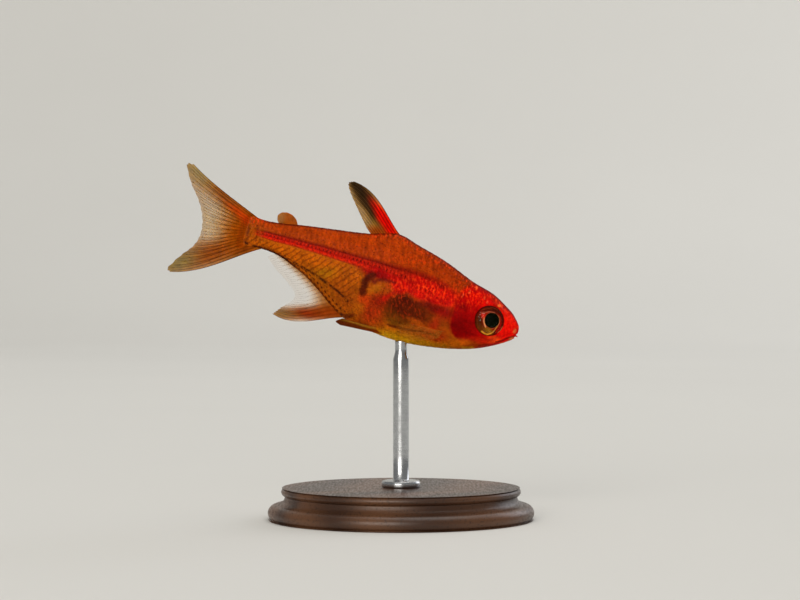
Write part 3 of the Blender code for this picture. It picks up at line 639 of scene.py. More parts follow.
def skin_marks(points):
    """Shares of painted glints of iridescent cells, of dark specks, and of fine bars across
    the muscle.
    """
    s, h, _ = np.moveaxis(points, -1, 0)
    back, belly = through(BACK_LINE, s), through(BELLY_LINE, s)
    # where the glints of the iridescent cells are painted bright
    glint_flecks = np.maximum.reduce((
        0.5 * patch(s, h, (5.3, 0.22), (2.0, 0.62), 0, 0.5),
        patch(s, h, (5.35, 0.26), (1.1, 0.24), -4, 0.7),
        0.6 * patch(s, h, (3.2, 0.80), (0.9, 0.6), 15, 0.8),
        0.55 * patch(s, h, (7.0, -0.25), (0.6, 0.6), 20, 0.6),
        0.35 * patch(s, h, (5.6, 1.95), (2.6, 0.35), -18, 0.6),
        0.7 * patch(s, h, (16.1, 0.60), (0.7, 0.22), -22, 0.8),
        0.25 * patch(s, h, (0.6, 0.0), (0.7, 0.6), 0, 0.5),
        0.5 * patch(s, h, (8.6, 2.3), (1.0, 0.2), -14, 0.6),
        0.25 * patch(s, h, (7.9, -1.7), (0.6, 1.0), 12, 0.6),
        0.16 * patch(s, h, (6.3, -1.1), (1.2, 0.8), 5, 0.5),
        0.6 * smooth(back - h, 0.1, 0.16) * (1 - smooth(back - h, 0.24, 0.34))
        * (1 - smooth(s, 7.6, 8.6)),
    ))
    specks = np.maximum.reduce((
        0.75 * (1 - smooth(back - h, 0.05, 0.6)) * smooth(s, 0.9, 2.2),
        0.9 * patch(s, h, (8.0, -1.8), (0.7, 1.0), 8, 0.6),
        0.9 * patch(s, h, (9.3, -2.1), (0.8, 0.8), 0, 0.6),
        0.4 * patch(s, h, (3.3, 0.9), (0.8, 0.5), 10, 0.6),
        0.7 * (1 - smooth(h - belly, 0.15, 0.75)) * smooth(s, 9.3, 10.3),
        0.3 * smooth(s, 3.6, 4.4),
    ))
    bars = smooth(s, 3.2, 4.4) * (1 - smooth(s, 15.4, 16.4)) * (0.5 + 0.5 * smooth(h, -0.1, 0.7))
    return np.stack((glint_flecks, specks, bars), -1)


def skin_bands(points):
    """Place across the side stripe, 0 at its lower and 1 at its upper edge, then the distance in
    millimetres from the muscle line, then 0 and 1 on the two rows of specks over the anal fin."""
    s, h, y = np.moveaxis(points, -1, 0)
    h = h + 0.012 * wobble(s, h, y, 0.25)
    top, low = through(STRIPE_TOP, s), through(STRIPE_LOW, s)
    inner = h - through(INNER_LINE, s)
    first, second = 0.10, 0.36 - 0.04 * (s - 9.3).clip(0, 5)
    rows = (h - through(BELLY_LINE, s) - first) / (second - first)
    return np.stack(((h - low) / (top - low), inner, rows), -1)


def set_values(piece, name, values):
    """Keep a value, a vector or a colour for each point of the mesh, for its material to read."""
    values = np.asarray(values, np.float32)
    width = values.shape[-1] if values.ndim > 1 else 1
    kind, key = {1: ("FLOAT", "value"), 3: ("FLOAT_VECTOR", "vector")}[width]
    layer = piece.data.attributes.new(name, kind, "POINT")
    layer.data.foreach_set(key, values.ravel())


def mark_skin(piece, points):
    """Give a piece the skin's own coordinates and markings."""
    flat = points.reshape(-1, 3)
    set_values(piece, "lie", flat)
    set_values(piece, "tint", skin_tint(flat))
    set_values(piece, "marks", skin_marks(flat))
    set_values(piece, "bands", skin_bands(flat))


def tetra_skin():
    """Fish skin with its slime: a thin gloss over saturated pigment. Muscle bars are 0.18 mm apart,
    painted glints of the iridescent cells 0.12 by 0.22 mm and dark cells 0.05 mm across, all a
    little coarser than life.
    Each marking is a mask, and at the end one loop lays the markings over the skin's colour."""
    made, tree, shader = new_finish("wet_fish_skin")
    lie, tint, marks, bands = (
        add(tree, "Attribute", attribute_name=name).outputs["Vector"]
        for name in ("lie", "tint", "marks", "bands")
    )
    glint_flecks, specks, bars = add(tree, "SeparateXYZ", {0: marks}).outputs
    stripe, inner, rows = add(tree, "SeparateXYZ", {0: bands}).outputs
    s, h, _ = add(tree, "SeparateXYZ", {0: lie}).outputs

    cloud = add(tree, "TexNoise", {"Vector": lie, "Scale": 2.4, "Detail": 5.0}).outputs["Fac"]
    shade = add(tree, "MapRange", {0: cloud, 1: 0.3, 2: 0.7, 3: 0.78, 4: 1.22}).outputs[0]
    mottle = add(tree, "TexNoise", {"Vector": lie, "Scale": 8.0, "Detail": 3.0}).outputs["Fac"]
    mottle = add(tree, "MapRange", {0: mottle, 1: 0.3, 2: 0.7, 3: 0.8, 4: 1.2}).outputs[0]
    shade = add(tree, "Math", {0: shade, 1: mottle}, operation="MULTIPLY").outputs[0]
    colour = add(tree, "VectorMath", {0: tint, 3: shade}, operation="SCALE").outputs[0]

    # Fine bars, upright on the fish and leaning back a little, kept from running into each other
    leant = add(tree, "Math", {0: h, 1: -0.2, 2: s}, operation="MULTIPLY_ADD").outputs[0]
    across = add(tree, "CombineXYZ", {0: leant, 1: h}).outputs[0]
    fine = add(tree, "VectorMath", {0: across, 1: BARS_PER_MM}, operation="MULTIPLY").outputs[0]
    fibre = add(tree, "TexNoise", {"Vector": fine, "Scale": 1.0, "Detail": 2.0}).outputs["Fac"]
    fibre = add(tree, "MapRange", {0: fibre, 1: 0.36, 2: 0.62, 3: 0.76, 4: 1.15}).outputs[0]
    barred = add(tree, "VectorMath", {0: colour, 3: fibre}, operation="SCALE").outputs[0]

    # Borders of the muscle blocks below the stripe, leaning back downwards
    lean = add(tree, "Math", {0: h, 1: 0.75, 2: s}, operation="MULTIPLY_ADD").outputs[0]
    uneven = add(tree, "Math", {0: cloud, 1: 0.45, 2: lean}, operation="MULTIPLY_ADD").outputs[0]
    wave = 2 * math.pi / BORDER_PITCH
    wave = add(tree, "Math", {0: uneven, 1: wave}, operation="MULTIPLY").outputs[0]
    wave = add(tree, "Math", {0: wave}, operation="SINE").outputs[0]
    border = add(tree, "MapRange", {0: wave, 1: 0.1, 2: 1.0, 3: 0.0, 4: 0.62}).outputs[0]
    low_side = add(tree, "MapRange", {0: stripe, 1: 0.0, 2: -0.3}).outputs[0]
    rear = add(tree, "MapRange", {0: s, 1: 9.0, 2: 9.5}).outputs[0]
    above = add(tree, "MapRange", {0: inner, 1: -0.1, 2: 0.15, 3: 0.25, 4: 1.0}).outputs[0]
    for limit in (low_side, rear, above):
        border = add(tree, "Math", {0: border, 1: limit}, operation="MULTIPLY").outputs[0]

    # Side stripe: a bright lower line, a dark red middle with a row of dark dashes, and a nearly
    # black upper line
    ramp = add(tree, "ValToRGB", {0: stripe})
    stops = (
        (0.0, "#A83206", 0.0), (0.09, "#A01C05", 0.8), (0.22, "#CE2406", 1.0),
        (0.34, "#C81A05", 1.0), (0.46, "#A40E03", 1.0), (0.60, "#C41C06", 1.0),
        (0.74, "#AC1C06", 1.0), (0.86, "#780E02", 1.0), (1.0, "#7A1203", 0.6),
    )
    for at, _, _ in stops[1:-1]:
        ramp.color_ramp.elements.new(at)
    for stop, (at, hex_colour, cover) in zip(ramp.color_ramp.elements, stops):
        stop.color = (*linear(hex_colour)[:3], cover)
    inside = add(tree, "MapRange", {0: stripe, 1: 1.16, 2: 1.0}).outputs[0]
    start = add(tree, "MapRange", {0: s, 1: 4.5, 2: 5.3}).outputs[0]
    end = add(tree, "MapRange", {0: s, 1: 15.9, 2: 15.1}).outputs[0]
    front = add(tree, "MapRange", {0: s, 1: 8.4, 2: 9.3}).outputs[0]
    top_line = add(tree, "MapRange", {0: stripe, 1: 0.78, 2: 0.9}).outputs[0]
    upper = add(tree, "MapRange", {0: stripe, 1: 0.42, 2: 0.56}).outputs[0]
    from_gut = add(tree, "MapRange", {0: s, 1: 6.0, 2: 7.2}).outputs[0]
    upper = add(tree, "Math", {0: upper, 1: from_gut}, operation="MULTIPLY").outputs[0]
    shown = add(tree, "Math", {0: front, 1: top_line}, operation="MAXIMUM").outputs[0]
    shown = add(tree, "Math", {0: shown, 1: upper}, operation="MAXIMUM").outputs[0]
    cover = ramp.outputs["Alpha"]
    for limit in (inside, start, end, shown):
        cover = add(tree, "Math", {0: cover, 1: limit}, operation="MULTIPLY").outputs[0]
    grain = add(tree, "VectorMath", {0: across, 1: GRAINS_PER_MM}, operation="MULTIPLY").outputs[0]
    grain = add(tree, "TexNoise", {"Vector": grain, "Scale": 1.0, "Detail": 1.0}).outputs["Fac"]
    grain = add(tree, "MapRange", {0: grain, 1: 0.35, 2: 0.62, 3: 0.7, 4: 1.25}).outputs[0]
    dash = add(tree, "Math", {0: s, 1: 2 * math.pi / DASH_PITCH}, operation="MULTIPLY").outputs[0]
    dash = add(tree, "Math", {0: dash}, operation="SINE").outputs[0]
    uneven_dash = add(tree, "MapRange", {0: fibre, 1: 0.76, 2: 1.15, 3: 0.75, 4: 0.25}).outputs[0]
    dash = add(tree, "MapRange", {0: dash, 1: -0.1, 2: 0.6, 3: 0.0, 4: uneven_dash}).outputs[0]
    in_row = add(tree, "Math", {0: stripe, 1: DASH_LEVEL}, operation="SUBTRACT").outputs[0]
    in_row = add(tree, "Math", {0: in_row}, operation="ABSOLUTE").outputs[0]
    in_row = add(tree, "MapRange", {0: in_row, 1: 0.13, 2: 0.06}).outputs[0]
    dash = add(tree, "Math", {0: dash, 1: in_row}, operation="MULTIPLY").outputs[0]
    light = add(tree, "Math", {0: 1.0, 1: dash}, operation="SUBTRACT").outputs[0]
    grain = add(tree, "Math", {0: grain, 1: light}, operation="MULTIPLY").outputs[0]
    band = add(
        tree, "VectorMath", {0: ramp.outputs["Color"], 3: grain}, operation="SCALE"
    ).outputs[0]

    # Dark muscle line over the anal fin, broken up
    away = add(tree, "Math", {0: inner}, operation="ABSOLUTE").outputs[0]
    dark = add(tree, "MapRange", {0: away, 1: 0.12, 2: 0.03, 3: 0.0, 4: 0.85}).outputs[0]
    broken = add(tree, "TexNoise", {"Vector": lie, "Scale": 4.5, "Detail": 2.0}).outputs["Fac"]
    broken = add(tree, "MapRange", {0: broken, 1: 0.42, 2: 0.55, 3: 0.1, 4: 1.0}).outputs[0]
    for limit in (broken, rear):
        dark = add(tree, "Math", {0: dark, 1: limit}, operation="MULTIPLY").outputs[0]

    # Two rows of dark specks over the anal fin, one for each row of its muscles
    number = add(tree, "Math", {0: rows}, operation="ROUND").outputs[0]
    off = add(tree, "Math", {0: rows, 1: number}, operation="SUBTRACT").outputs[0]
    off = add(tree, "Math", {0: off}, operation="ABSOLUTE").outputs[0]
    near = add(tree, "MapRange", {0: off, 1: 0.30, 2: 0.12, 3: 0.0, 4: 0.85}).outputs[0]
    beat = add(tree, "Math", {0: number, 1: math.pi}, operation="MULTIPLY").outputs[0]
    turns = {0: s, 1: 2 * math.pi / SPECK_PITCH, 2: beat}
    beat = add(tree, "Math", turns, operation="MULTIPLY_ADD").outputs[0]
    beat = add(tree, "Math", {0: beat}, operation="SINE").outputs[0]
    beat = add(tree, "MapRange", {0: beat, 1: -0.2, 2: 0.5}).outputs[0]
    of_two = add(tree, "MapRange", {0: rows, 1: 1.6, 2: 1.3}).outputs[0]
    hind = add(tree, "MapRange", {0: s, 1: 14.6, 2: 14.0}).outputs[0]
    for limit in (beat, of_two, rear, hind):
        near = add(tree, "Math", {0: near, 1: limit}, operation="MULTIPLY").outputs[0]

    # Single dark cells, more of them where the specks' share is high
    cells = add(tree, "TexVoronoi", {"Vector": lie, "Scale": 8.5, "Randomness": 0.9})
    cell = add(tree, "MapRange", {0: cells.outputs["Distance"], 1: 0.36, 2: 0.18})
    chance = add(tree, "SeparateXYZ", {0: cells.outputs["Color"]}).outputs[0]
    rare = add(tree, "Math", {0: chance, 1: specks}, operation="LESS_THAN").outputs[0]
    speck = add(tree, "Math", {0: cell.outputs[0], 1: rare}, operation="MULTIPLY").outputs[0]
    speck = add(tree, "Math", {0: speck, 1: 0.6}, operation="MULTIPLY").outputs[0]

    # Painted glints of the iridescent cells: bright upright sparkles with dark red between them
    short = add(tree, "VectorMath", {0: across, 1: GLINT_FLECKS_PER_MM}, operation="MULTIPLY").outputs[0]
    dash = add(tree, "TexNoise", {"Vector": short, "Scale": 1.0, "Detail": 1.5}).outputs["Fac"]
    deep = add(tree, "MapRange", {0: dash, 1: 0.50, 2: 0.36, 3: 0.0, 4: 0.75}).outputs[0]
    deep = add(tree, "Math", {0: deep, 1: glint_flecks}, operation="MULTIPLY").outputs[0]
    glint_fleck = add(tree, "MapRange", {0: dash, 1: 0.52, 2: 0.64}).outputs[0]
    glint_fleck = add(tree, "Math", {0: glint_fleck, 1: glint_flecks}, operation="MULTIPLY").outputs[0]

    # the last layer paints the iridescent cells' glints in bright #FF3E0C
    layers = (
        (bars, barred), (border, linear("#6E2A03")), (cover, band), (dark, linear("#2E0E04")),
        (near, linear("#3C1204")), (speck, linear("#3A0E03")), (deep, linear("#6E0502")),
        (glint_fleck, linear("#FF3E0C")),
    )
    for mask, over in layers:
        colour = add(tree, "Mix", {0: mask, 6: colour, 7: over}, data_type="RGBA").outputs[2]
    tree.links.new(colour, shader.inputs["Base Color"])
    gloss = add(tree, "MapRange", {0: glint_fleck, 3: 0.55, 4: 0.35}).outputs[0]
    tree.links.new(gloss, shader.inputs["Roughness"])
    shader.inputs["Specular IOR Level"].default_value = 0.02
    shader.inputs["Subsurface Weight"].default_value = 0.12
    shader.inputs["Subsurface Radius"].default_value = (1.0, 0.2, 0.05)
    shader.inputs["Subsurface Scale"].default_value = 0.2 * MM
    shader.inputs["Coat Weight"].default_value = 0.01
    shader.inputs["Coat Roughness"].default_value = 0.12
    pores = add(tree, "TexNoise", {"Vector": lie, "Scale": 16.0, "Detail": 3.0}).outputs["Fac"]
    bump = add(tree, "Bump", {"Strength": 0.2, "Distance": 0.005 * MM, "Height": pores})
    tree.links.new(bump.outputs[0], shader.inputs["Normal"])
    return made


SKIN = tetra_skin()
skin_rings = skin_points()
points, faces = closed_rings(skin_rings)
skin = new_object("skin", posed(points), faces, SKIN)
mark_skin(skin, points)
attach(skin, "root")
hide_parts("head", "gill_cover_left", "gill_cover_right", "trunk", "tail_stalk")


# Scales. About thirty thin clear plates lie along each row, each rooted in the skin, lying over
# the one behind it and free at its round hind edge. Each shows the colour of the pigment under it.
SCALES_START = 3.0
SCALES_END = 16.0
SCALE_ROWS = 11  # on either side of the widest line
SCALE_PITCH = 0.39
ROW_PITCH = 0.36
SCALE_LENGTH = 0.60
SCALE_HALF_WIDTH = 0.205
SCALE_HALF_THICK = 0.004
SCALE_SUNK = 0.022  # of the root, under the skin
SCALE_LIFT = 0.007  # of the hind edge, over the skin
SCALE_GRID = 5
PATCH_SIZE = 0.003  # of one scale on the bake's map
MAP_LENGTH = 17.0  # millimetres of fish along the whole map


def slabs(points, half):
    """Points and faces of closed plates, one for each grid in an array of grids: a front layer at
    points + half, a back layer at points - half, and a rim that joins their edges. The third
    result says which grids had to be turned for their faces to point outwards."""
    count, rows, columns = points.shape[:3]
    row, column = rows // 2 - 1, columns // 2 - 1
    along = points[:, row + 1, column] - points[:, row, column]
    across = points[:, row, column + 1] - points[:, row, column]
    turned = (np.cross(along, across) * half[:, row, column]).sum(-1) < 0
    points = np.where(turned[:, None, None, None], points[:, :, ::-1], points)
    half = np.where(turned[:, None, None, None], half[:, :, ::-1], half)
    both = np.stack((points + half, points - half), 1)
    index = np.arange(rows * columns).reshape(rows, columns)
    front = grid_faces(rows, columns)[:, (0, 3, 2, 1)]
    edge = np.concatenate((index[:, 0], index[-1, 1:], index[-2::-1, -1], index[0, -2:0:-1]))
    follow = np.roll(edge, -1)
    size = rows * columns
    rim = np.stack((follow, edge, edge + size, follow + size), 1)
    faces = np.concatenate((front, front[:, ::-1] + size, rim))
    every = faces[None] + (np.arange(count) * 2 * size)[:, None, None]
    return both.reshape(-1, 3), every.reshape(-1, 4).tolist(), turned


def scale_places():
    """Middles (s, distance round the body, side) of the scales: rows at equal distances from the
    widest line, every second one set back half a pitch, and one row each along back and belly."""
    places = []
    line = np.arange(SCALES_START, SCALES_END + 0.1, SCALE_PITCH)
    for row in range(-SCALE_ROWS, SCALE_ROWS + 1):
        s = line + (row % 2) * SCALE_PITCH / 2
        around = np.full_like(s, (row + 0.5) * ROW_PITCH)
        up, down = side_lengths(s)
        room = np.where(around > 0, up, down)
        kept = np.abs(around) < room - 0.12
        places += [np.stack((s, around, np.full_like(s, side)), 1)[kept] for side in (1.0, -1.0)]
    up, down = side_lengths(line)
    places.append(np.stack((line, up, np.ones_like(line)), 1))
    places.append(np.stack((line, -down, np.ones_like(line)), 1))
    places = np.concatenate(places)
    share = share_of(places[:, 0], places[:, 1])
    h = body(places[:, 0], share, places[:, 2])[:, 1]
    start = np.where(h > 0.75, 3.2 - 0.2 * h, through(GILL_EDGE, h) + 0.12)
    return places[(places[:, 0] > start + 0.2) & (places[:, 0] < SCALES_END)]


def share_of(s, around):
    """The share of the side's arc at this distance over the skin from the widest line."""
    up, down = side_lengths(s)
    return around / np.where(around > 0, up, down)


def scale_grids(places):
    """A plate's points: u from root to hind edge and v across it, with the hind edge rounded as
    v squared, laid over the body and lifted evenly from the root to the hind edge."""
    draw = np.random.default_rng(3)
    u = np.linspace(0, 1, SCALE_GRID)[None, :, None]
    v = np.linspace(-1, 1, SCALE_GRID)[None, None, :]
    s0, around0, side = (places[:, k, None, None] for k in range(3))
    s0 = s0 + draw.normal(0, 0.008, s0.shape)
    around0 = around0 + draw.normal(0, 0.006, s0.shape) * (np.abs(around0) > 0)
    s = s0 + SCALE_LENGTH * (u - 0.5) - 0.15 * u * v * v
    around = around0 + SCALE_HALF_WIDTH * (1 - 0.2 * u * u) * v
    s, around, side = np.broadcast_arrays(s, around, side)
    share = share_of(s, around)
    normal = body_normal(s, share, side)
    lift = -SCALE_SUNK + (SCALE_SUNK + SCALE_LIFT) * u + 0.002 * (1 - v * v)
    points = body(s, share, side) + normal * lift[..., None]
    thin = 1 - 0.5 * smooth(u, 0.6, 1.0) + 0 * v
    return points, normal * SCALE_HALF_THICK * thin[..., None]


def bake_map(piece, corners):
    """The bake's map: each point's (u, v), copied to the corners of its faces."""
    layer = piece.data.uv_layers.new(name="OFBake")
    owner = np.empty(len(piece.data.loops), np.int32)
    piece.data.loops.foreach_get("vertex_index", owner)
    layer.data.foreach_set("uv", corners[owner].astype(np.float32).ravel())


places = scale_places()
grids, half = scale_grids(places)
points, faces, _ = slabs(grids, half)
scales = new_object("scales", posed(points), faces, SKIN)
mark_skin(scales, points)
shape = (len(places), 2, SCALE_GRID, SCALE_GRID)
u = np.broadcast_to(np.linspace(0, 1, SCALE_GRID)[:, None], shape)
v = np.broadcast_to(np.linspace(-0.5, 0.5, SCALE_GRID), shape)
root_share = share_of(places[:, 0], places[:, 1])
root = np.stack((
    0.02 + 0.96 * places[:, 0] / MAP_LENGTH,
    0.5 + places[:, 2] * (0.02 + 0.23 * (root_share.clip(-1, 1) + 1)),
), 1)
patch_place = root[:, None, None, None, :] + PATCH_SIZE * np.stack((u - 0.5, v), -1)
bake_map(scales, patch_place.reshape(-1, 2))
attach(scales, "root")

# Eyes. A round eyeball lies in each socket with its iris a little below the clear cornea, and the
# lens stands through the pupil, which sits forward of the middle. The iris is thin tissue, dark red
# outside and silvered gold round the pupil and below it.
EYE_PROFILE = (  # radius and height along the way the eye looks, from the lens to the back
    (0.0, 0.145), (0.15, 0.138), (0.30, 0.113), (0.39, 0.080), (0.42, 0.052), (0.436, 0.074),
    (0.46, 0.088), (0.50, 0.082), (0.56, 0.062), (0.64, 0.042), (0.72, 0.010), (0.79, -0.045),
    (0.83, -0.095), (0.845, -0.16), (0.80, -0.28), (0.60, -0.34), (0.0, -0.36),
)
EYE_RINGS = (  # radius and colour
    (0.0, "#050802"), (0.405, "#070A02"), (0.422, "#4A1C08"), (0.445, "#8A4424"),
    (0.475, "#8E1408"), (0.53, "#920E06"), (0.575, "#5A0C02"), (0.68, "#500C02"),
    (0.75, "#661204"), (0.84, "#360401"),
)
EYE_PATCHES = (  # as on the skin, but from the eye's middle, with the first distance backwards
    ("#3A0F05", -0.05, 0.66, 0.62, 0.20, 0, 0.6, 0.9),
    ("#481A02", 0.56, -0.28, 0.22, 0.36, -20, 0.7, 0.9),
    ("#622C04", 0.12, -0.62, 0.50, 0.20, 8, 0.6, 0.9),
    ("#8A5A12", -0.10, -0.55, 0.24, 0.14, 10, 0.7, 0.9),
    ("#D02A18", 0.46, 0.14, 0.16, 0.11, 50, 0.7, 0.95),
    ("#8E1008", -0.63, -0.16, 0.09, 0.34, -8, 0.7, 0.9),
    ("#A8140A", -0.60, -0.46, 0.09, 0.15, -30, 0.7, 0.8),
)
EYE_STROKES = (
    ("#E89458", 0.016, 0.035, 0.9, ((0.36, 0.02), (0.33, -0.13), (0.25, -0.28), (0.13, -0.42))),
    ("#A85438", 0.006, 0.045, 0.7, ((0.58, 0.26), (0.36, 0.38), (0.16, 0.47), (-0.1, 0.50))),
    ("#B06438", 0.008, 0.030, 0.75, ((-0.34, 0.40), (-0.47, 0.24), (-0.53, 0.04), (-0.50, -0.16))),
    ("#C88430", 0.010, 0.035, 0.8, ((-0.48, -0.18), (-0.40, -0.46), (-0.28, -0.66))),
    ("#F0A030", 0.014, 0.050, 0.9, ((-0.30, -0.64), (-0.12, -0.76), (0.06, -0.77), (0.24, -0.71))),
    ("#662C0A", 0.008, 0.045, 0.6, ((0.70, -0.18), (0.58, -0.46), (0.40, -0.66))),
    ("#742408", 0.008, 0.045, 0.6, ((0.2, 0.72), (0.0, 0.745), (-0.22, 0.72))),
    ("#742408", 0.010, 0.045, 0.6, ((0.58, 0.45), (0.36, 0.60), (0.12, 0.64))),
    # painted highlight: the bright orange-pink rim at the eye's front edge
    ("#E0703E", 0.008, 0.030, 0.8, ((-0.80, -0.06), (-0.76, -0.30), (-0.66, -0.50))),
)
PUPIL_SHIFT = (0.10, 0.05)  # forward and up
CORNEA_RADIUS = 0.83
CORNEA_EDGE = -0.085
CORNEA_RISE = 0.255
EYE_AROUND = 160


def turned_points(radius, height, around):
    """Points of a profile turned about its axis: (r cos, r sin, height) at even angles."""
    angle = np.arange(around)[None, :] * 2 * math.pi / around
    x, y = radius[:, None] * np.cos(angle), radius[:, None] * np.sin(angle)
    return np.stack(np.broadcast_arrays(x, y, height[:, None]), -1)


def in_eye(local, side):
    """Eye-frame points (forward, up, out) to the fish's (s, h, y)."""
    middle, look, forward, upward = eye_axes(side)
    return middle + local @ np.stack((forward, upward, look))


def dense_profile(profile, steps, sharp=False):
    """A profile's radii and heights with each stretch cut in equal steps, along straight lines if
    it is sharp and otherwise along a smooth curve."""
    at = np.arange(len(profile))
    fine = np.linspace(0, len(profile) - 1, (len(profile) - 1) * steps + 1)
    if sharp:
        return [np.interp(fine, at, values) for values in np.array(profile).T]
    return [through(np.stack((at, values), 1), fine) for values in np.array(profile).T]


def eye_tint(radius, local):
    """Colour by radius, between the rings' colours, with the patches and strokes laid over it
    outside the pupil."""
    rings = np.array([linear(hex_colour)[:3] for _, hex_colour in EYE_RINGS])
    at = [edge for edge, _ in EYE_RINGS]
    plain = np.stack([np.interp(radius, at, rings[:, k]) for k in range(3)], -1)
    over = painted(plain, -local[..., 0], local[..., 1], EYE_PATCHES, EYE_STROKES)
    return plain + (over - plain) * smooth(radius, 0.405, 0.425)[..., None]


def eye_tissue():
    """Iris and lens of a fish: a black lens, and red and brown tissue with fine streaks outwards,
    where it is pale lined with silvery crystals that give it the gleam of gold."""
    made, tree, shader = new_finish("iris_and_lens")
    spot = add(tree, "Attribute", attribute_name="iris").outputs["Vector"]
    tint = add(tree, "Attribute", attribute_name="tint").outputs["Vector"]
    way = add(tree, "VectorMath", {0: spot, 1: (1.0, 9.0, 9.0)}, operation="MULTIPLY").outputs[0]
    streak = add(tree, "TexNoise", {"Vector": way, "Scale": 2.2, "Detail": 3.0}).outputs["Fac"]
    streak = add(tree, "MapRange", {0: streak, 1: 0.35, 2: 0.65, 3: 0.72, 4: 1.28}).outputs[0]
    colour = add(tree, "VectorMath", {0: tint, 3: streak}, operation="SCALE").outputs[0]
    green = add(tree, "SeparateXYZ", {0: tint}).outputs[1]
    metal = add(tree, "MapRange", {0: green, 1: 0.08, 2: 0.30, 3: 0.0, 4: 0.4}).outputs[0]
    tree.links.new(colour, shader.inputs["Base Color"])
    tree.links.new(metal, shader.inputs["Metallic"])
    shader.inputs["Roughness"].default_value = 0.4
    shader.inputs["Specular IOR Level"].default_value = 0.01
    return made


def cornea_film():
    """The clear cornea: nothing but the gleam of a wet dome, stronger where it curves away."""
    made, tree, shader = new_finish("clear_cornea")
    gleam = add(tree, "Fresnel", {"IOR": 1.376}).outputs[0]
    strong = add(tree, "Math", {0: gleam, 1: 0.35, 2: -0.006}, operation="MULTIPLY_ADD").outputs[0]
    strong = add(tree, "Math", {0: strong, 1: 0.002}, operation="MINIMUM").outputs[0]
    tree.links.new(strong, shader.inputs["Alpha"])
    shader.inputs["Base Color"].default_value = (1.0, 1.0, 1.0, 1.0)
    shader.inputs["Metallic"].default_value = 1.0
    shader.inputs["Roughness"].default_value = 0.04
    return made


EYE_TISSUE = eye_tissue()
CORNEA = cornea_film()
for side, word in ((1, "left"), (-1, "right")):
    radius, height = dense_profile(EYE_PROFILE, 6)
    radius[0], radius[-1] = 0.004, 0.004
    local = turned_points(radius, height, EYE_AROUND)[:, ::side]
    ring = np.broadcast_to(radius[:, None], local.shape[:2])
    spot = np.stack((ring, local[..., 0], local[..., 1]), -1)
    local[..., :2] += (1 - smooth(radius, 0.45, 0.84))[:, None, None] * PUPIL_SHIFT
    points, faces = closed_rings(local)
    eye = new_object(f"eyeball_{word}", posed(in_eye(points, side)), faces, EYE_TISSUE)
    ring = np.append(ring.ravel(), (0.0, 0.6))
    spot = np.concatenate((spot.reshape(-1, 3), [spot[0].mean(0), spot[-1].mean(0)]))
    set_values(eye, "iris", spot)
    set_values(eye, "tint", eye_tint(ring, points))
    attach(eye, "root")
    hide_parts(f"eye_{word}")

    share = np.linspace(0.01, 1, 24)
    dome = CORNEA_EDGE + CORNEA_RISE * np.sqrt(1 - share**2)
    front = turned_points(CORNEA_RADIUS * share, dome, EYE_AROUND)
    back = turned_points(CORNEA_RADIUS * share[::-1] * 0.97, dome[::-1] - 0.02, EYE_AROUND)
    points, faces = closed_rings(np.concatenate((front, back))[:, ::side])
    cornea = new_object(f"cornea_{word}", posed(in_eye(points, side)), faces, CORNEA)
    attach(cornea, "root")

# Fins. Each is a thin clear membrane, spread by bony rays that start in the flesh, fork on the
# way out and are jointed like bamboo. Red, orange and black cells colour all but the outer edge.
MEMBRANE_HALF = 0.016
MEMBRANE_ROWS = 44
MEMBRANE_STEPS = 7  # columns for each space between two rays
RAY_HALF = 0.030  # half width of a ray at its root
RAY_TIP = 0.30  # share of it left at the tip
RAY_STEPS = 14
RAY_SIDES = 8
JOINT_LENGTH = 0.16  # of one joint of a ray
SCALLOP = 0.012  # share by which the membrane falls back between two ray tips


def spread(points, v):
    """A point for each v from 0 to 1 along a line of points, evenly by their count."""
    points = np.asarray(points, float)
    at = np.linspace(0, 1, len(points))
    return np.stack([through(np.stack((at, points[:, k]), 1), v) for k in range(3)], -1)


def fan(fin, u, t):
    """Point of a fin: from root(u) a share t of the way to margin(u), bowed across in its plane by
    27/4 t t (1 - t) of the bow's share, and waved sideways more and more outwards."""
    u, t = np.broadcast_arrays(u, t)
    start, end = spread(fin["root"], u), spread(fin["margin"], u)
    chord = end - start
    across = np.stack((-chord[..., 1], chord[..., 0], np.zeros_like(u)), -1)
    across = across * (fin["bow"][0] + (fin["bow"][1] - fin["bow"][0]) * u)[..., None]
    points = start + t[..., None] * chord + (6.75 * t * t * (1 - t))[..., None] * across
    size, turns, phase = fin["wave"]
    points[..., 2] += size * t.clip(0) ** 1.5 * np.sin(2 * math.pi * (turns * u + phase + 0.25 * t))
    return points


def fan_side(fin, u, t):
    """The direction square to a fin's sheet, from short steps out along it and across it."""
    step = 0.01
    out = fan(fin, u, t + step) - fan(fin, u, t - step)
    across = fan(fin, u + step, t) - fan(fin, u - step, t)
    return unit(np.cross(out, across))


def membrane(fin):
    """The sheet between the rays, thinnest at its free edge, which falls back between the rays."""
    columns = (fin["rays"] - 1) * MEMBRANE_STEPS + 1
    u = np.linspace(0, 1, columns)[None, None, :]
    t = np.linspace(0, 1, MEMBRANE_ROWS)[None, :, None]
    dip = SCALLOP * np.sin(math.pi * u * (fin["rays"] - 1)) ** 2
    t = t * (1 - dip - fin["fray"] * (0.5 + 0.5 * wobble(30 * u, 4.0, 0.0, 6.0)))
    side = fan_side(fin, u, t)
    thick = MEMBRANE_HALF * (1.6 - 1.2 * t)
    points = fan(fin, u, t)
    flat, faces, turned = slabs(points, side * thick[..., None])
    shape = (1, 2, MEMBRANE_ROWS, columns)
    u, t = np.broadcast_to(u, points.shape[:3]), np.broadcast_to(t, points.shape[:3])
    if turned[0]:
        u = u[..., ::-1]
    both = [np.broadcast_to(value[:, None], shape).ravel() for value in (u, t)]
    return flat, faces, both[0], both[1]


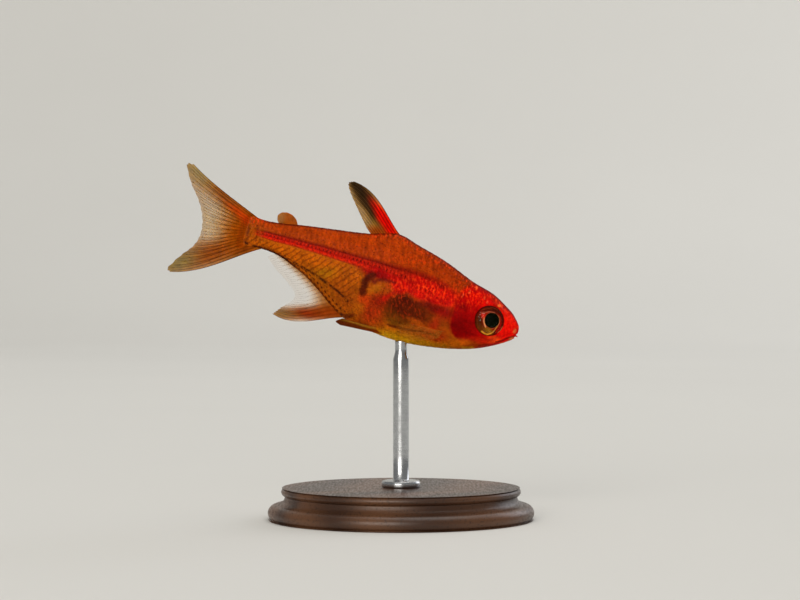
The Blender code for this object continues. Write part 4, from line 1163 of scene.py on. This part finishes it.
def tubes(paths, across, side):
    """Points and faces of closed oval tubes along an array of paths. across and side are the two
    half-width vectors of the oval at each point of each path."""
    count, steps = paths.shape[:2]
    run = np.gradient(paths, axis=1)
    left = (np.cross(across, side) * run).sum(-1, keepdims=True) < 0
    side = np.where(left, -side, side)
    angle = (np.arange(RAY_SIDES) * 2 * math.pi / RAY_SIDES)[None, None, :, None]
    oval = across[:, :, None] * np.cos(angle) + side[:, :, None] * np.sin(angle)
    rings = (paths[:, :, None] + oval).reshape(count, -1, 3)
    points = np.concatenate((rings, paths[:, :1], paths[:, -1:]), 1)
    a = np.arange(RAY_SIDES)
    b = (a + 1) % RAY_SIDES
    last = (steps - 1) * RAY_SIDES
    first = np.stack((np.full(RAY_SIDES, steps * RAY_SIDES), b, a), 1)
    end = np.stack((np.full(RAY_SIDES, steps * RAY_SIDES + 1), last + a, last + b), 1)
    skin_faces = grid_faces(steps, RAY_SIDES, closed=True)
    faces = []
    for part in (skin_faces, np.concatenate((first, end))):
        every = part[None] + (np.arange(count) * points.shape[1])[:, None, None]
        faces += every.reshape(-1, part.shape[1]).tolist()
    return points.reshape(-1, 3), faces


def ray_lines(fin):
    """Start and end (u, t) and half width of every ray and fork: a ray forks at a third and again
    at two thirds of its length, each time to a quarter or an eighth of the space to the next."""
    gap = 1 / (fin["rays"] - 1)
    draw = np.random.default_rng(11)
    lines = []
    for number in range(fin["rays"]):
        u = number * gap
        plain = number < fin["plain"][0] or number >= fin["rays"] - fin["plain"][1]
        if plain:
            lines.append((u, u, -0.02, 0.985, 1.15, RAY_TIP))
            continue
        fork, second = fin["forks"][0] + draw.uniform(-0.04, 0.04), fin["forks"][1]
        lines.append((u, u, -0.02, fork + 0.03, 1.0, 0.72))
        for way in (-1, 1):
            middle = u + way * gap * 0.25
            turn = second + draw.uniform(-0.05, 0.05)
            lines.append((u + way * gap * 0.03, middle, fork, turn + 0.02, 0.66, 0.46))
            for twig in (-1, 1):
                start, end = middle + twig * gap * 0.02, middle + twig * gap * 0.125
                lines.append((start, end, turn, 0.985 + 0.01 * twig, 0.42, 0.2))
    return np.array(lines)


def rays(fin):
    """All rays of a fin as tubes that lie in its sheet and stand a little proud on both sides."""
    lines = ray_lines(fin)
    t = np.linspace(0, 1, RAY_STEPS)
    start_u, end_u, start_t, end_t, start_wide, end_wide = (lines[:, k, None] for k in range(6))
    u = start_u + (end_u - start_u) * (1 - (1 - t) ** 2)
    along = start_t + (end_t - start_t) * t
    wide = RAY_HALF * fin["ray_size"] * (start_wide + (end_wide - start_wide) * t)
    paths = fan(fin, u.clip(0, 1), along)
    side = fan_side(fin, u.clip(0.011, 0.989), along)
    across = unit(np.cross(unit(np.gradient(paths, axis=1)), side)) * wide[..., None]
    thick = np.maximum(wide * 0.8, MEMBRANE_HALF * 1.2)
    points, faces = tubes(paths, across, side * thick[..., None])
    values = []
    for value in (u.clip(0, 1), along):
        ring = np.repeat(value[:, :, None], RAY_SIDES, 2).reshape(len(lines), -1)
        values.append(np.concatenate((ring, value[:, :1], value[:, -1:]), 1).ravel())
    return points, faces, values[0], values[1]


def fin_colour(fin, points, u, t):
    """Colour and cover of a fin: its ground, which fades over its fade's share of the way out, with
    its patches laid over it, and deeper beside a ray than between two by its streak's share. The
    colour is then raised to 0.6 + 0.4 times its cover, because a thin layer of dye is paler."""
    s, h, y = points[:, 0], points[:, 1], points[:, 2]
    s = s + 0.05 * wobble(s, h, y, 0.7)
    h = h + 0.05 * wobble(h, s, y, 0.6)
    colour = np.zeros((len(s), 3)) + linear(fin["ground"][0])[:3]
    cover = fin["ground"][1] + (fin["ground"][2] - fin["ground"][1]) * smooth(t, 0.0, fin["fade"])
    between = np.abs(np.sin(math.pi * u * (fin["rays"] - 1)))
    for hex_colour, amount, place_s, place_h, a, b, turn, softness, strength in fin["patches"]:
        mask = patch(s, h, (place_s, place_h), (a, b), turn, softness) * strength
        colour = colour + (np.array(linear(hex_colour)[:3]) - colour) * mask[:, None]
        cover = cover + (amount - cover) * mask
    deep = colour * (1.05 - fin["streak"] * (1 - between))[:, None]
    return deep ** (0.6 + 0.4 * cover)[:, None], cover


def fin_membrane():
    """Fin membrane: clear skin a few hundredths of a millimetre thick. It dyes what is seen through
    it, and its cells gather beside the rays as fine dark grains 0.04 mm across."""
    made, tree, shader = new_finish("clear_fin_membrane")
    tint = add(tree, "Attribute", attribute_name="tint").outputs["Vector"]
    cover = add(tree, "Attribute", attribute_name="cover").outputs["Fac"]
    lie = add(tree, "Attribute", attribute_name="lie").outputs["Vector"]
    cloud = add(tree, "TexNoise", {"Vector": lie, "Scale": 3.0, "Detail": 4.0}).outputs["Fac"]
    shade = add(tree, "MapRange", {0: cloud, 1: 0.3, 2: 0.7, 3: 0.75, 4: 1.25}).outputs[0]
    colour = add(tree, "VectorMath", {0: tint, 3: shade}, operation="SCALE").outputs[0]
    grains = add(tree, "TexVoronoi", {"Vector": lie, "Scale": 12.0})
    grain = add(tree, "MapRange", {0: grains.outputs["Distance"], 1: 0.35, 2: 0.15})
    luck = add(tree, "SeparateXYZ", {0: grains.outputs["Color"]}).outputs[0]
    rare = add(tree, "MapRange", {0: luck, 1: 0.55, 2: 1.0, 3: 0.0, 4: 0.8}).outputs[0]
    grain = add(tree, "Math", {0: grain.outputs[0], 1: rare}, operation="MULTIPLY").outputs[0]
    grain = add(tree, "Math", {0: grain, 1: cover}, operation="MULTIPLY").outputs[0]
    colour = add(
        tree, "Mix", {0: grain, 6: colour, 7: linear("#2E1404")}, data_type="RGBA"
    ).outputs[2]
    alpha = add(tree, "Math", {0: grain, 1: 0.25, 2: cover}, operation="MULTIPLY_ADD")
    alpha.use_clamp = True
    tree.links.new(colour, shader.inputs["Base Color"])
    tree.links.new(alpha.outputs[0], shader.inputs["Alpha"])
    shader.inputs["Roughness"].default_value = 0.35
    shader.inputs["Specular IOR Level"].default_value = 0.05
    shader.inputs["Transmission Weight"].default_value = 0.6
    shader.inputs["IOR"].default_value = 1.02
    return made


def fin_ray():
    """Bony fin rays: translucent horn, dyed as the fin is but deeper, with a dark joint every
    0.16 mm along them."""
    made, tree, shader = new_finish("horny_fin_ray")
    tint = add(tree, "Attribute", attribute_name="tint").outputs["Vector"]
    cover = add(tree, "Attribute", attribute_name="cover").outputs["Fac"]
    run = add(tree, "Attribute", attribute_name="run").outputs["Fac"]
    turns = {0: run, 1: 2 * math.pi / JOINT_LENGTH}
    wave = add(tree, "Math", turns, operation="MULTIPLY").outputs[0]
    wave = add(tree, "Math", {0: wave}, operation="SINE").outputs[0]
    joint = add(tree, "MapRange", {0: wave, 1: 0.55, 2: 0.95, 3: 1.0, 4: 0.8}).outputs[0]
    pale = add(tree, "MapRange", {0: cover, 1: 0.2, 2: 0.9, 3: 0.95, 4: 0.4}).outputs[0]
    fleshy = add(tree, "MapRange", {0: run, 1: 0.5, 2: 2.2, 3: 0.95, 4: 0.0}).outputs[0]
    pale = add(tree, "Math", {0: pale, 1: fleshy}, operation="MAXIMUM").outputs[0]
    deep = add(tree, "Math", {0: joint, 1: pale}, operation="MULTIPLY").outputs[0]
    colour = add(tree, "VectorMath", {0: tint, 3: deep}, operation="SCALE").outputs[0]
    alpha = add(tree, "Math", {0: cover, 1: 0.95, 2: 0.06}, operation="MULTIPLY_ADD")
    alpha.use_clamp = True
    tree.links.new(colour, shader.inputs["Base Color"])
    tree.links.new(alpha.outputs[0], shader.inputs["Alpha"])
    shader.inputs["Roughness"].default_value = 0.3
    shader.inputs["Specular IOR Level"].default_value = 0.08
    return made


MEMBRANE = fin_membrane()
RAY = fin_ray()


def make_fin(name, fin, slot, *nodes):
    """One fin as two pieces: its membrane, which stands for the CAD fin, and its rays."""
    for part, build, finish in (("membrane", membrane, MEMBRANE), ("rays", rays, RAY)):
        points, faces, u, t = build(fin)
        colour, cover = fin_colour(fin, points, u, t)
        piece = new_object(f"{name}_{part}", posed(points), faces, finish)
        set_values(piece, "lie", points)
        set_values(piece, "tint", colour)
        set_values(piece, "cover", cover)
        length = np.linalg.norm(fan(fin, u, 1.0 + 0 * t) - fan(fin, u, 0 * t), axis=-1)
        set_values(piece, "run", t * length)
        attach(piece, "root")
        if part == "membrane":
            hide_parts(*nodes)


def flat(points):
    """(s, h) points on the fish's middle plane."""
    return [(s, h, 0.0) for s, h in points]


# Tail fin. Nineteen rays in two lobes; the outer rays are strong and dyed amber and rust, and the
# short ones in the fork are nearly clear.
make_fin("tail_fin", {
    "root": flat(((15.0, 0.60), (15.9, 0.42), (16.15, 0.0), (15.9, -0.4), (15.0, -0.6))),
    "margin": flat((
        (20.28, 2.60), (20.62, 2.46), (20.05, 1.55), (19.42, 0.88), (18.95, 0.22), (18.66, -0.5),
        (18.6, -1.2), (18.8, -1.85), (19.25, -2.5), (19.74, -3.42), (19.55, -3.60),
    )),
    "bow": (-0.02, -0.05), "wave": (0.10, 0.9, 0.1), "rays": 19, "plain": (2, 2),
    "forks": (0.40, 0.88), "ray_size": 0.9, "fray": 0.005, "fade": 0.75, "streak": 0.35,
    "ground": ("#A8640A", 0.85, 0.42),
    "patches": (
        ("#A65008", 0.92, 18.1, 1.62, 2.7, 0.55, 24, 0.9, 0.95),
        ("#A84A06", 0.93, 17.5, -1.75, 2.5, 0.66, -36, 0.9, 0.95),
        ("#B4740E", 0.42, 18.2, -0.15, 0.9, 0.62, 0, 0.9, 0.8),
        ("#B85406", 1.0, 16.2, 0.0, 1.3, 1.1, 0, 0.8, 1.0),
        ("#D8480A", 0.98, 16.7, 0.72, 1.0, 0.22, 22, 0.9, 0.9),
        ("#7A2805", 0.98, 15.9, -0.98, 0.8, 0.12, -38, 0.8, 0.5),
        ("#94700E", 0.62, 19.9, 2.3, 1.0, 0.5, 24, 0.9, 0.8),
        ("#7A6208", 0.70, 19.2, -2.9, 1.0, 0.5, -45, 0.9, 0.8),
    ),
}, "tail_fin", "caudal_fin_upper", "caudal_fin_lower")

# Back fin. Eleven rays rooted in the back carry its membrane. Its front edge is scarlet, and a
# black streak runs behind that out to the tip.
make_fin("back_fin", {
    "root": flat(((7.75, 2.5), (8.5, 2.2), (9.2, 1.95))),
    "margin": flat(((11.42, 4.62), (11.66, 4.44), (11.36, 3.95), (10.72, 3.28), (9.9, 2.45))),
    "bow": (0.09, 0.0), "wave": (0.06, 0.8, 0.3), "rays": 11, "plain": (2, 1),
    "forks": (0.34, 0.9), "ray_size": 0.8, "fray": 0.005, "fade": 0.75, "streak": 0.6,
    "ground": ("#B0700A", 0.90, 0.62),
    "patches": (
        ("#B83E06", 0.96, 9.1, 2.4, 0.9, 0.3, -15, 0.8, 0.8),
        ("#5E360A", 0.88, 10.8, 4.40, 0.8, 0.30, 22, 0.8, 0.8),
        ("#52280A", 0.93, 10.35, 4.06, 1.1, 0.26, 36, 0.7, 0.9),
        ("#3E240A", 0.94, 10.2, 3.64, 1.45, 0.32, 35, 0.6, 0.95),
        ("#2E1C08", 0.94, 11.1, 4.33, 0.6, 0.26, 32, 0.7, 0.8),
        ("#FF1208", 0.98, 8.95, 3.12, 1.30, 0.33, 38, 0.5, 1.0),
    ),
}, "back_fin", "dorsal_fin")

# Fatty fin. A small soft flap of orange skin on the tail stalk. No bony rays carry it, only faint
# threads of horn inside it.
make_fin("fatty_fin", {
    "root": flat(((13.5, 1.0), (14.4, 0.8))),
    "margin": flat((
        (13.58, 1.30), (13.75, 1.54), (14.02, 1.70), (14.34, 1.74), (14.64, 1.64), (14.80, 1.42),
        (14.74, 1.16),
    )),
    "bow": (0.0, 0.0), "wave": (0.02, 0.5, 0.2), "rays": 7, "plain": (7, 0),
    "forks": (0.5, 0.8), "ray_size": 0.3, "fray": 0.0, "fade": 0.75, "streak": 0.0,
    "ground": ("#AC4C06", 0.98, 0.90),
    "patches": (("#96580A", 0.75, 14.7, 1.35, 0.3, 0.4, 0, 0.8, 0.7),),
}, "back_fin", "adipose_fin")

# Anal fin. Nineteen rays rooted along the hind belly. The front ones make a dark red lobe, and the
# short hind ones are clear past their dyed roots.
make_fin("anal_fin", {
    "root": flat(((9.3, -2.75), (10.6, -1.85), (12.1, -1.1), (13.9, -0.45))),
    "margin": flat((
        (13.3, -3.92), (13.0, -3.5), (12.4, -2.6), (13.1, -1.95), (13.9, -1.5), (14.6, -1.0),
    )),
    "bow": (-0.09, 0.0), "wave": (0.05, 1.0, 0.0), "rays": 19, "plain": (3, 1),
    "forks": (0.55, 0.8), "ray_size": 0.7, "fray": 0.005, "fade": 0.6, "streak": 0.25,
    "ground": ("#B4620C", 0.98, 0.05),
    "patches": (
        ("#9E3206", 0.95, 11.3, -3.22, 2.0, 0.36, -20, 0.8, 1.0),
        ("#A84406", 0.97, 10.3, -2.7, 0.8, 0.34, -20, 0.8, 0.8),
        ("#8A5A0C", 0.80, 12.8, -3.75, 0.8, 0.30, -12, 0.9, 0.8),
    ),
}, "anal_fin", "anal_fin")

# Paired fins. Each breast fin has ten fine rays, rooted behind the gill cover, and is nearly clear.
# Each belly fin has seven and is brown with a gold upper edge.
for side, word in ((1.0, "left"), (-1.0, "right")):
    make_fin(f"breast_fin_{word}", {
        "root": [(3.85, -1.7, side * 0.95), (3.95, -2.1, side * 0.8)],
        "margin": [(6.35, -2.1, side * 1.9), (6.25, -2.5, side * 1.85), (5.5, -2.8, side * 1.6)],
        "bow": (0.03, -0.03), "wave": (0.04, 0.8, 0.2), "rays": 10, "plain": (1, 1),
        "forks": (0.5, 0.78), "ray_size": 0.5, "fray": 0.005, "fade": 0.75, "streak": 0.0,
        "ground": ("#C8600C", 0.24, 0.06), "patches": (),
    }, "paired_fin", f"pectoral_fin_{word}")
    make_fin(f"belly_fin_{word}", {
        "root": [(6.9, -2.93, side * 0.35), (7.0, -2.70, side * 0.45)],
        "margin": [(9.5, -3.26, side * 0.6), (9.76, -3.14, side * 0.66), (9.5, -2.90, side * 0.82)],
        "bow": (0.0, 0.0), "wave": (0.03, 0.8, 0.1), "rays": 7, "plain": (1, 1),
        "forks": (0.45, 0.75), "ray_size": 0.7, "fray": 0.01, "fade": 0.75, "streak": 0.15,
        "ground": ("#963A08", 0.95, 0.8),
        "patches": (("#D89428", 0.95, 8.3, -2.86, 1.4, 0.06, -3, 0.8, 0.9),),
    }, "paired_fin", f"pelvic_fin_{word}")

# Stand. A disc of turned and waxed dark wood, with a step round its upper edge and a hollow above
# its foot, carries a polished steel rod in a collar. The rod's tapered end is let into the belly.
BASE_PROFILE = (  # radius and height, from the middle of the top down the side to the floor
    (0.0, 1.80), (3.0, 1.80), (6.40, 1.80), (6.58, 1.785), (6.70, 1.70), (6.75, 1.55), (6.67, 1.40),
    (6.55, 1.33), (6.56, 1.22), (6.66, 1.02), (6.86, 0.89), (7.1, 0.85), (7.30, 0.77), (7.45, 0.60),
    (7.5, 0.40), (7.45, 0.20), (7.30, 0.06), (7.1, 0.0), (3.0, 0.0), (0.0, 0.0),
)
ROD_PROFILE = (  # radius and height of the rod, its collar and its tapered end
    (0.0, 1.2), (0.45, 1.2), (0.45, 1.78), (0.98, 1.80), (1.08, 1.84), (1.10, 1.92), (1.10, 2.06),
    (1.05, 2.16), (0.92, 2.20), (0.52, 2.21), (0.45, 2.26), (0.45, 8.95), (0.44, 9.05),
    (0.36, 9.35), (0.34, 9.45), (0.34, 10.1), (0.0, 10.1),
)
STAND_AROUND = 128
TIP_RADIUS = 0.01  # of the small round that closes a turned piece on its axis


def lathe(profile, steps, sharp):
    """A profile turned about the upright axis, in millimetres. It stays outside the tip's radius
    and above the floor, where a smooth curve would dip a little past them."""
    radius, height = dense_profile(profile, steps, sharp)
    radius[0], radius[-1] = TIP_RADIUS, TIP_RADIUS
    return closed_rings(turned_points(radius.clip(TIP_RADIUS), height.clip(0), STAND_AROUND))


def waxed_wood():
    """Turned walnut under wax: dark growth rings across the disc, pores as short fine streaks and a
    soft gloss. The rings are 0.9 mm apart, as a small piece cut from a slow-grown board shows."""
    made, tree, shader = new_finish("turned_waxed_walnut")
    place = add(tree, "TexCoord").outputs["Object"]
    board = {0: place, 1: (-0.004, 0.012, 0.009), 2: (0.0, 0.06, 0.12), 3: (0.15, 1.0, 1.0)}
    grown = add(tree, "Mapping", board).outputs[0]
    bent = add(tree, "TexNoise", {"Vector": grown, "Scale": 90.0, "Detail": 3.0}).outputs["Color"]
    bent = add(tree, "VectorMath", {0: bent, 3: 0.0022}, operation="SCALE").outputs[0]
    grown = add(tree, "VectorMath", {0: grown, 1: bent}, operation="ADD").outputs[0]
    wave = {"Vector": grown, "Scale": 350.0, "Distortion": 1.2}
    rings = add(tree, "TexWave", wave).outputs["Fac"]
    pores = add(tree, "Mapping", {0: place, 2: (0, 0, 0.3), 3: (9000.0, 900.0, 9000.0)}).outputs[0]
    pores = add(tree, "TexNoise", {"Vector": pores, "Scale": 1.0, "Detail": 2.0}).outputs["Fac"]
    colour = add(
        tree, "Mix", {0: rings, 6: linear("#3B2416"), 7: linear("#5E3D26")}, data_type="RGBA"
    ).outputs[2]
    dark = add(tree, "MapRange", {0: pores, 1: 0.55, 2: 0.7, 3: 0.0, 4: 0.6}).outputs[0]
    colour = add(
        tree, "Mix", {0: dark, 6: colour, 7: linear("#21130B")}, data_type="RGBA"
    ).outputs[2]
    tree.links.new(colour, shader.inputs["Base Color"])
    rough = add(tree, "MapRange", {0: pores, 1: 0.3, 2: 0.7, 3: 0.30, 4: 0.46}).outputs[0]
    tree.links.new(rough, shader.inputs["Roughness"])
    shader.inputs["Specular IOR Level"].default_value = 0.4
    bump = add(tree, "Bump", {"Strength": 0.3, "Distance": 0.02 * MM, "Height": pores})
    tree.links.new(bump.outputs[0], shader.inputs["Normal"])
    return made


def drawn_steel():
    """Drawn and polished steel wire: bright grey with fine scratches round it and small dulled
    spots, which break the reflection into soft bands."""
    made, tree, shader = new_finish("polished_steel_wire")
    place = add(tree, "TexCoord").outputs["Object"]
    fine = add(tree, "Mapping", {0: place, 3: (600.0, 600.0, 22000.0)}).outputs[0]
    scratch = add(tree, "TexNoise", {"Vector": fine, "Scale": 1.0, "Detail": 2.0}).outputs["Fac"]
    spots = add(tree, "TexNoise", {"Vector": place, "Scale": 1500.0, "Detail": 3.0}).outputs["Fac"]
    colour = add(
        tree, "Mix", {0: scratch, 6: linear("#A9ABAD"), 7: linear("#CFD1D3")}, data_type="RGBA"
    ).outputs[2]
    tree.links.new(colour, shader.inputs["Base Color"])
    rough = add(tree, "MapRange", {0: spots, 1: 0.35, 2: 0.7, 3: 0.16, 4: 0.34}).outputs[0]
    tree.links.new(rough, shader.inputs["Roughness"])
    shader.inputs["Metallic"].default_value = 1.0
    bump = add(tree, "Bump", {"Strength": 0.2, "Distance": 0.004 * MM, "Height": scratch})
    tree.links.new(bump.outputs[0], shader.inputs["Normal"])
    return made


points, faces = lathe(BASE_PROFILE[::-1], 6, False)
base = new_object("turned_base", points * MM, faces, waxed_wood())
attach(base, "root")
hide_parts("stand_base")
points, faces = lathe(ROD_PROFILE, 5, True)
rod = new_object("rod", points * MM, faces, drawn_steel())
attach(rod, "root")
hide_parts("stand_rod")
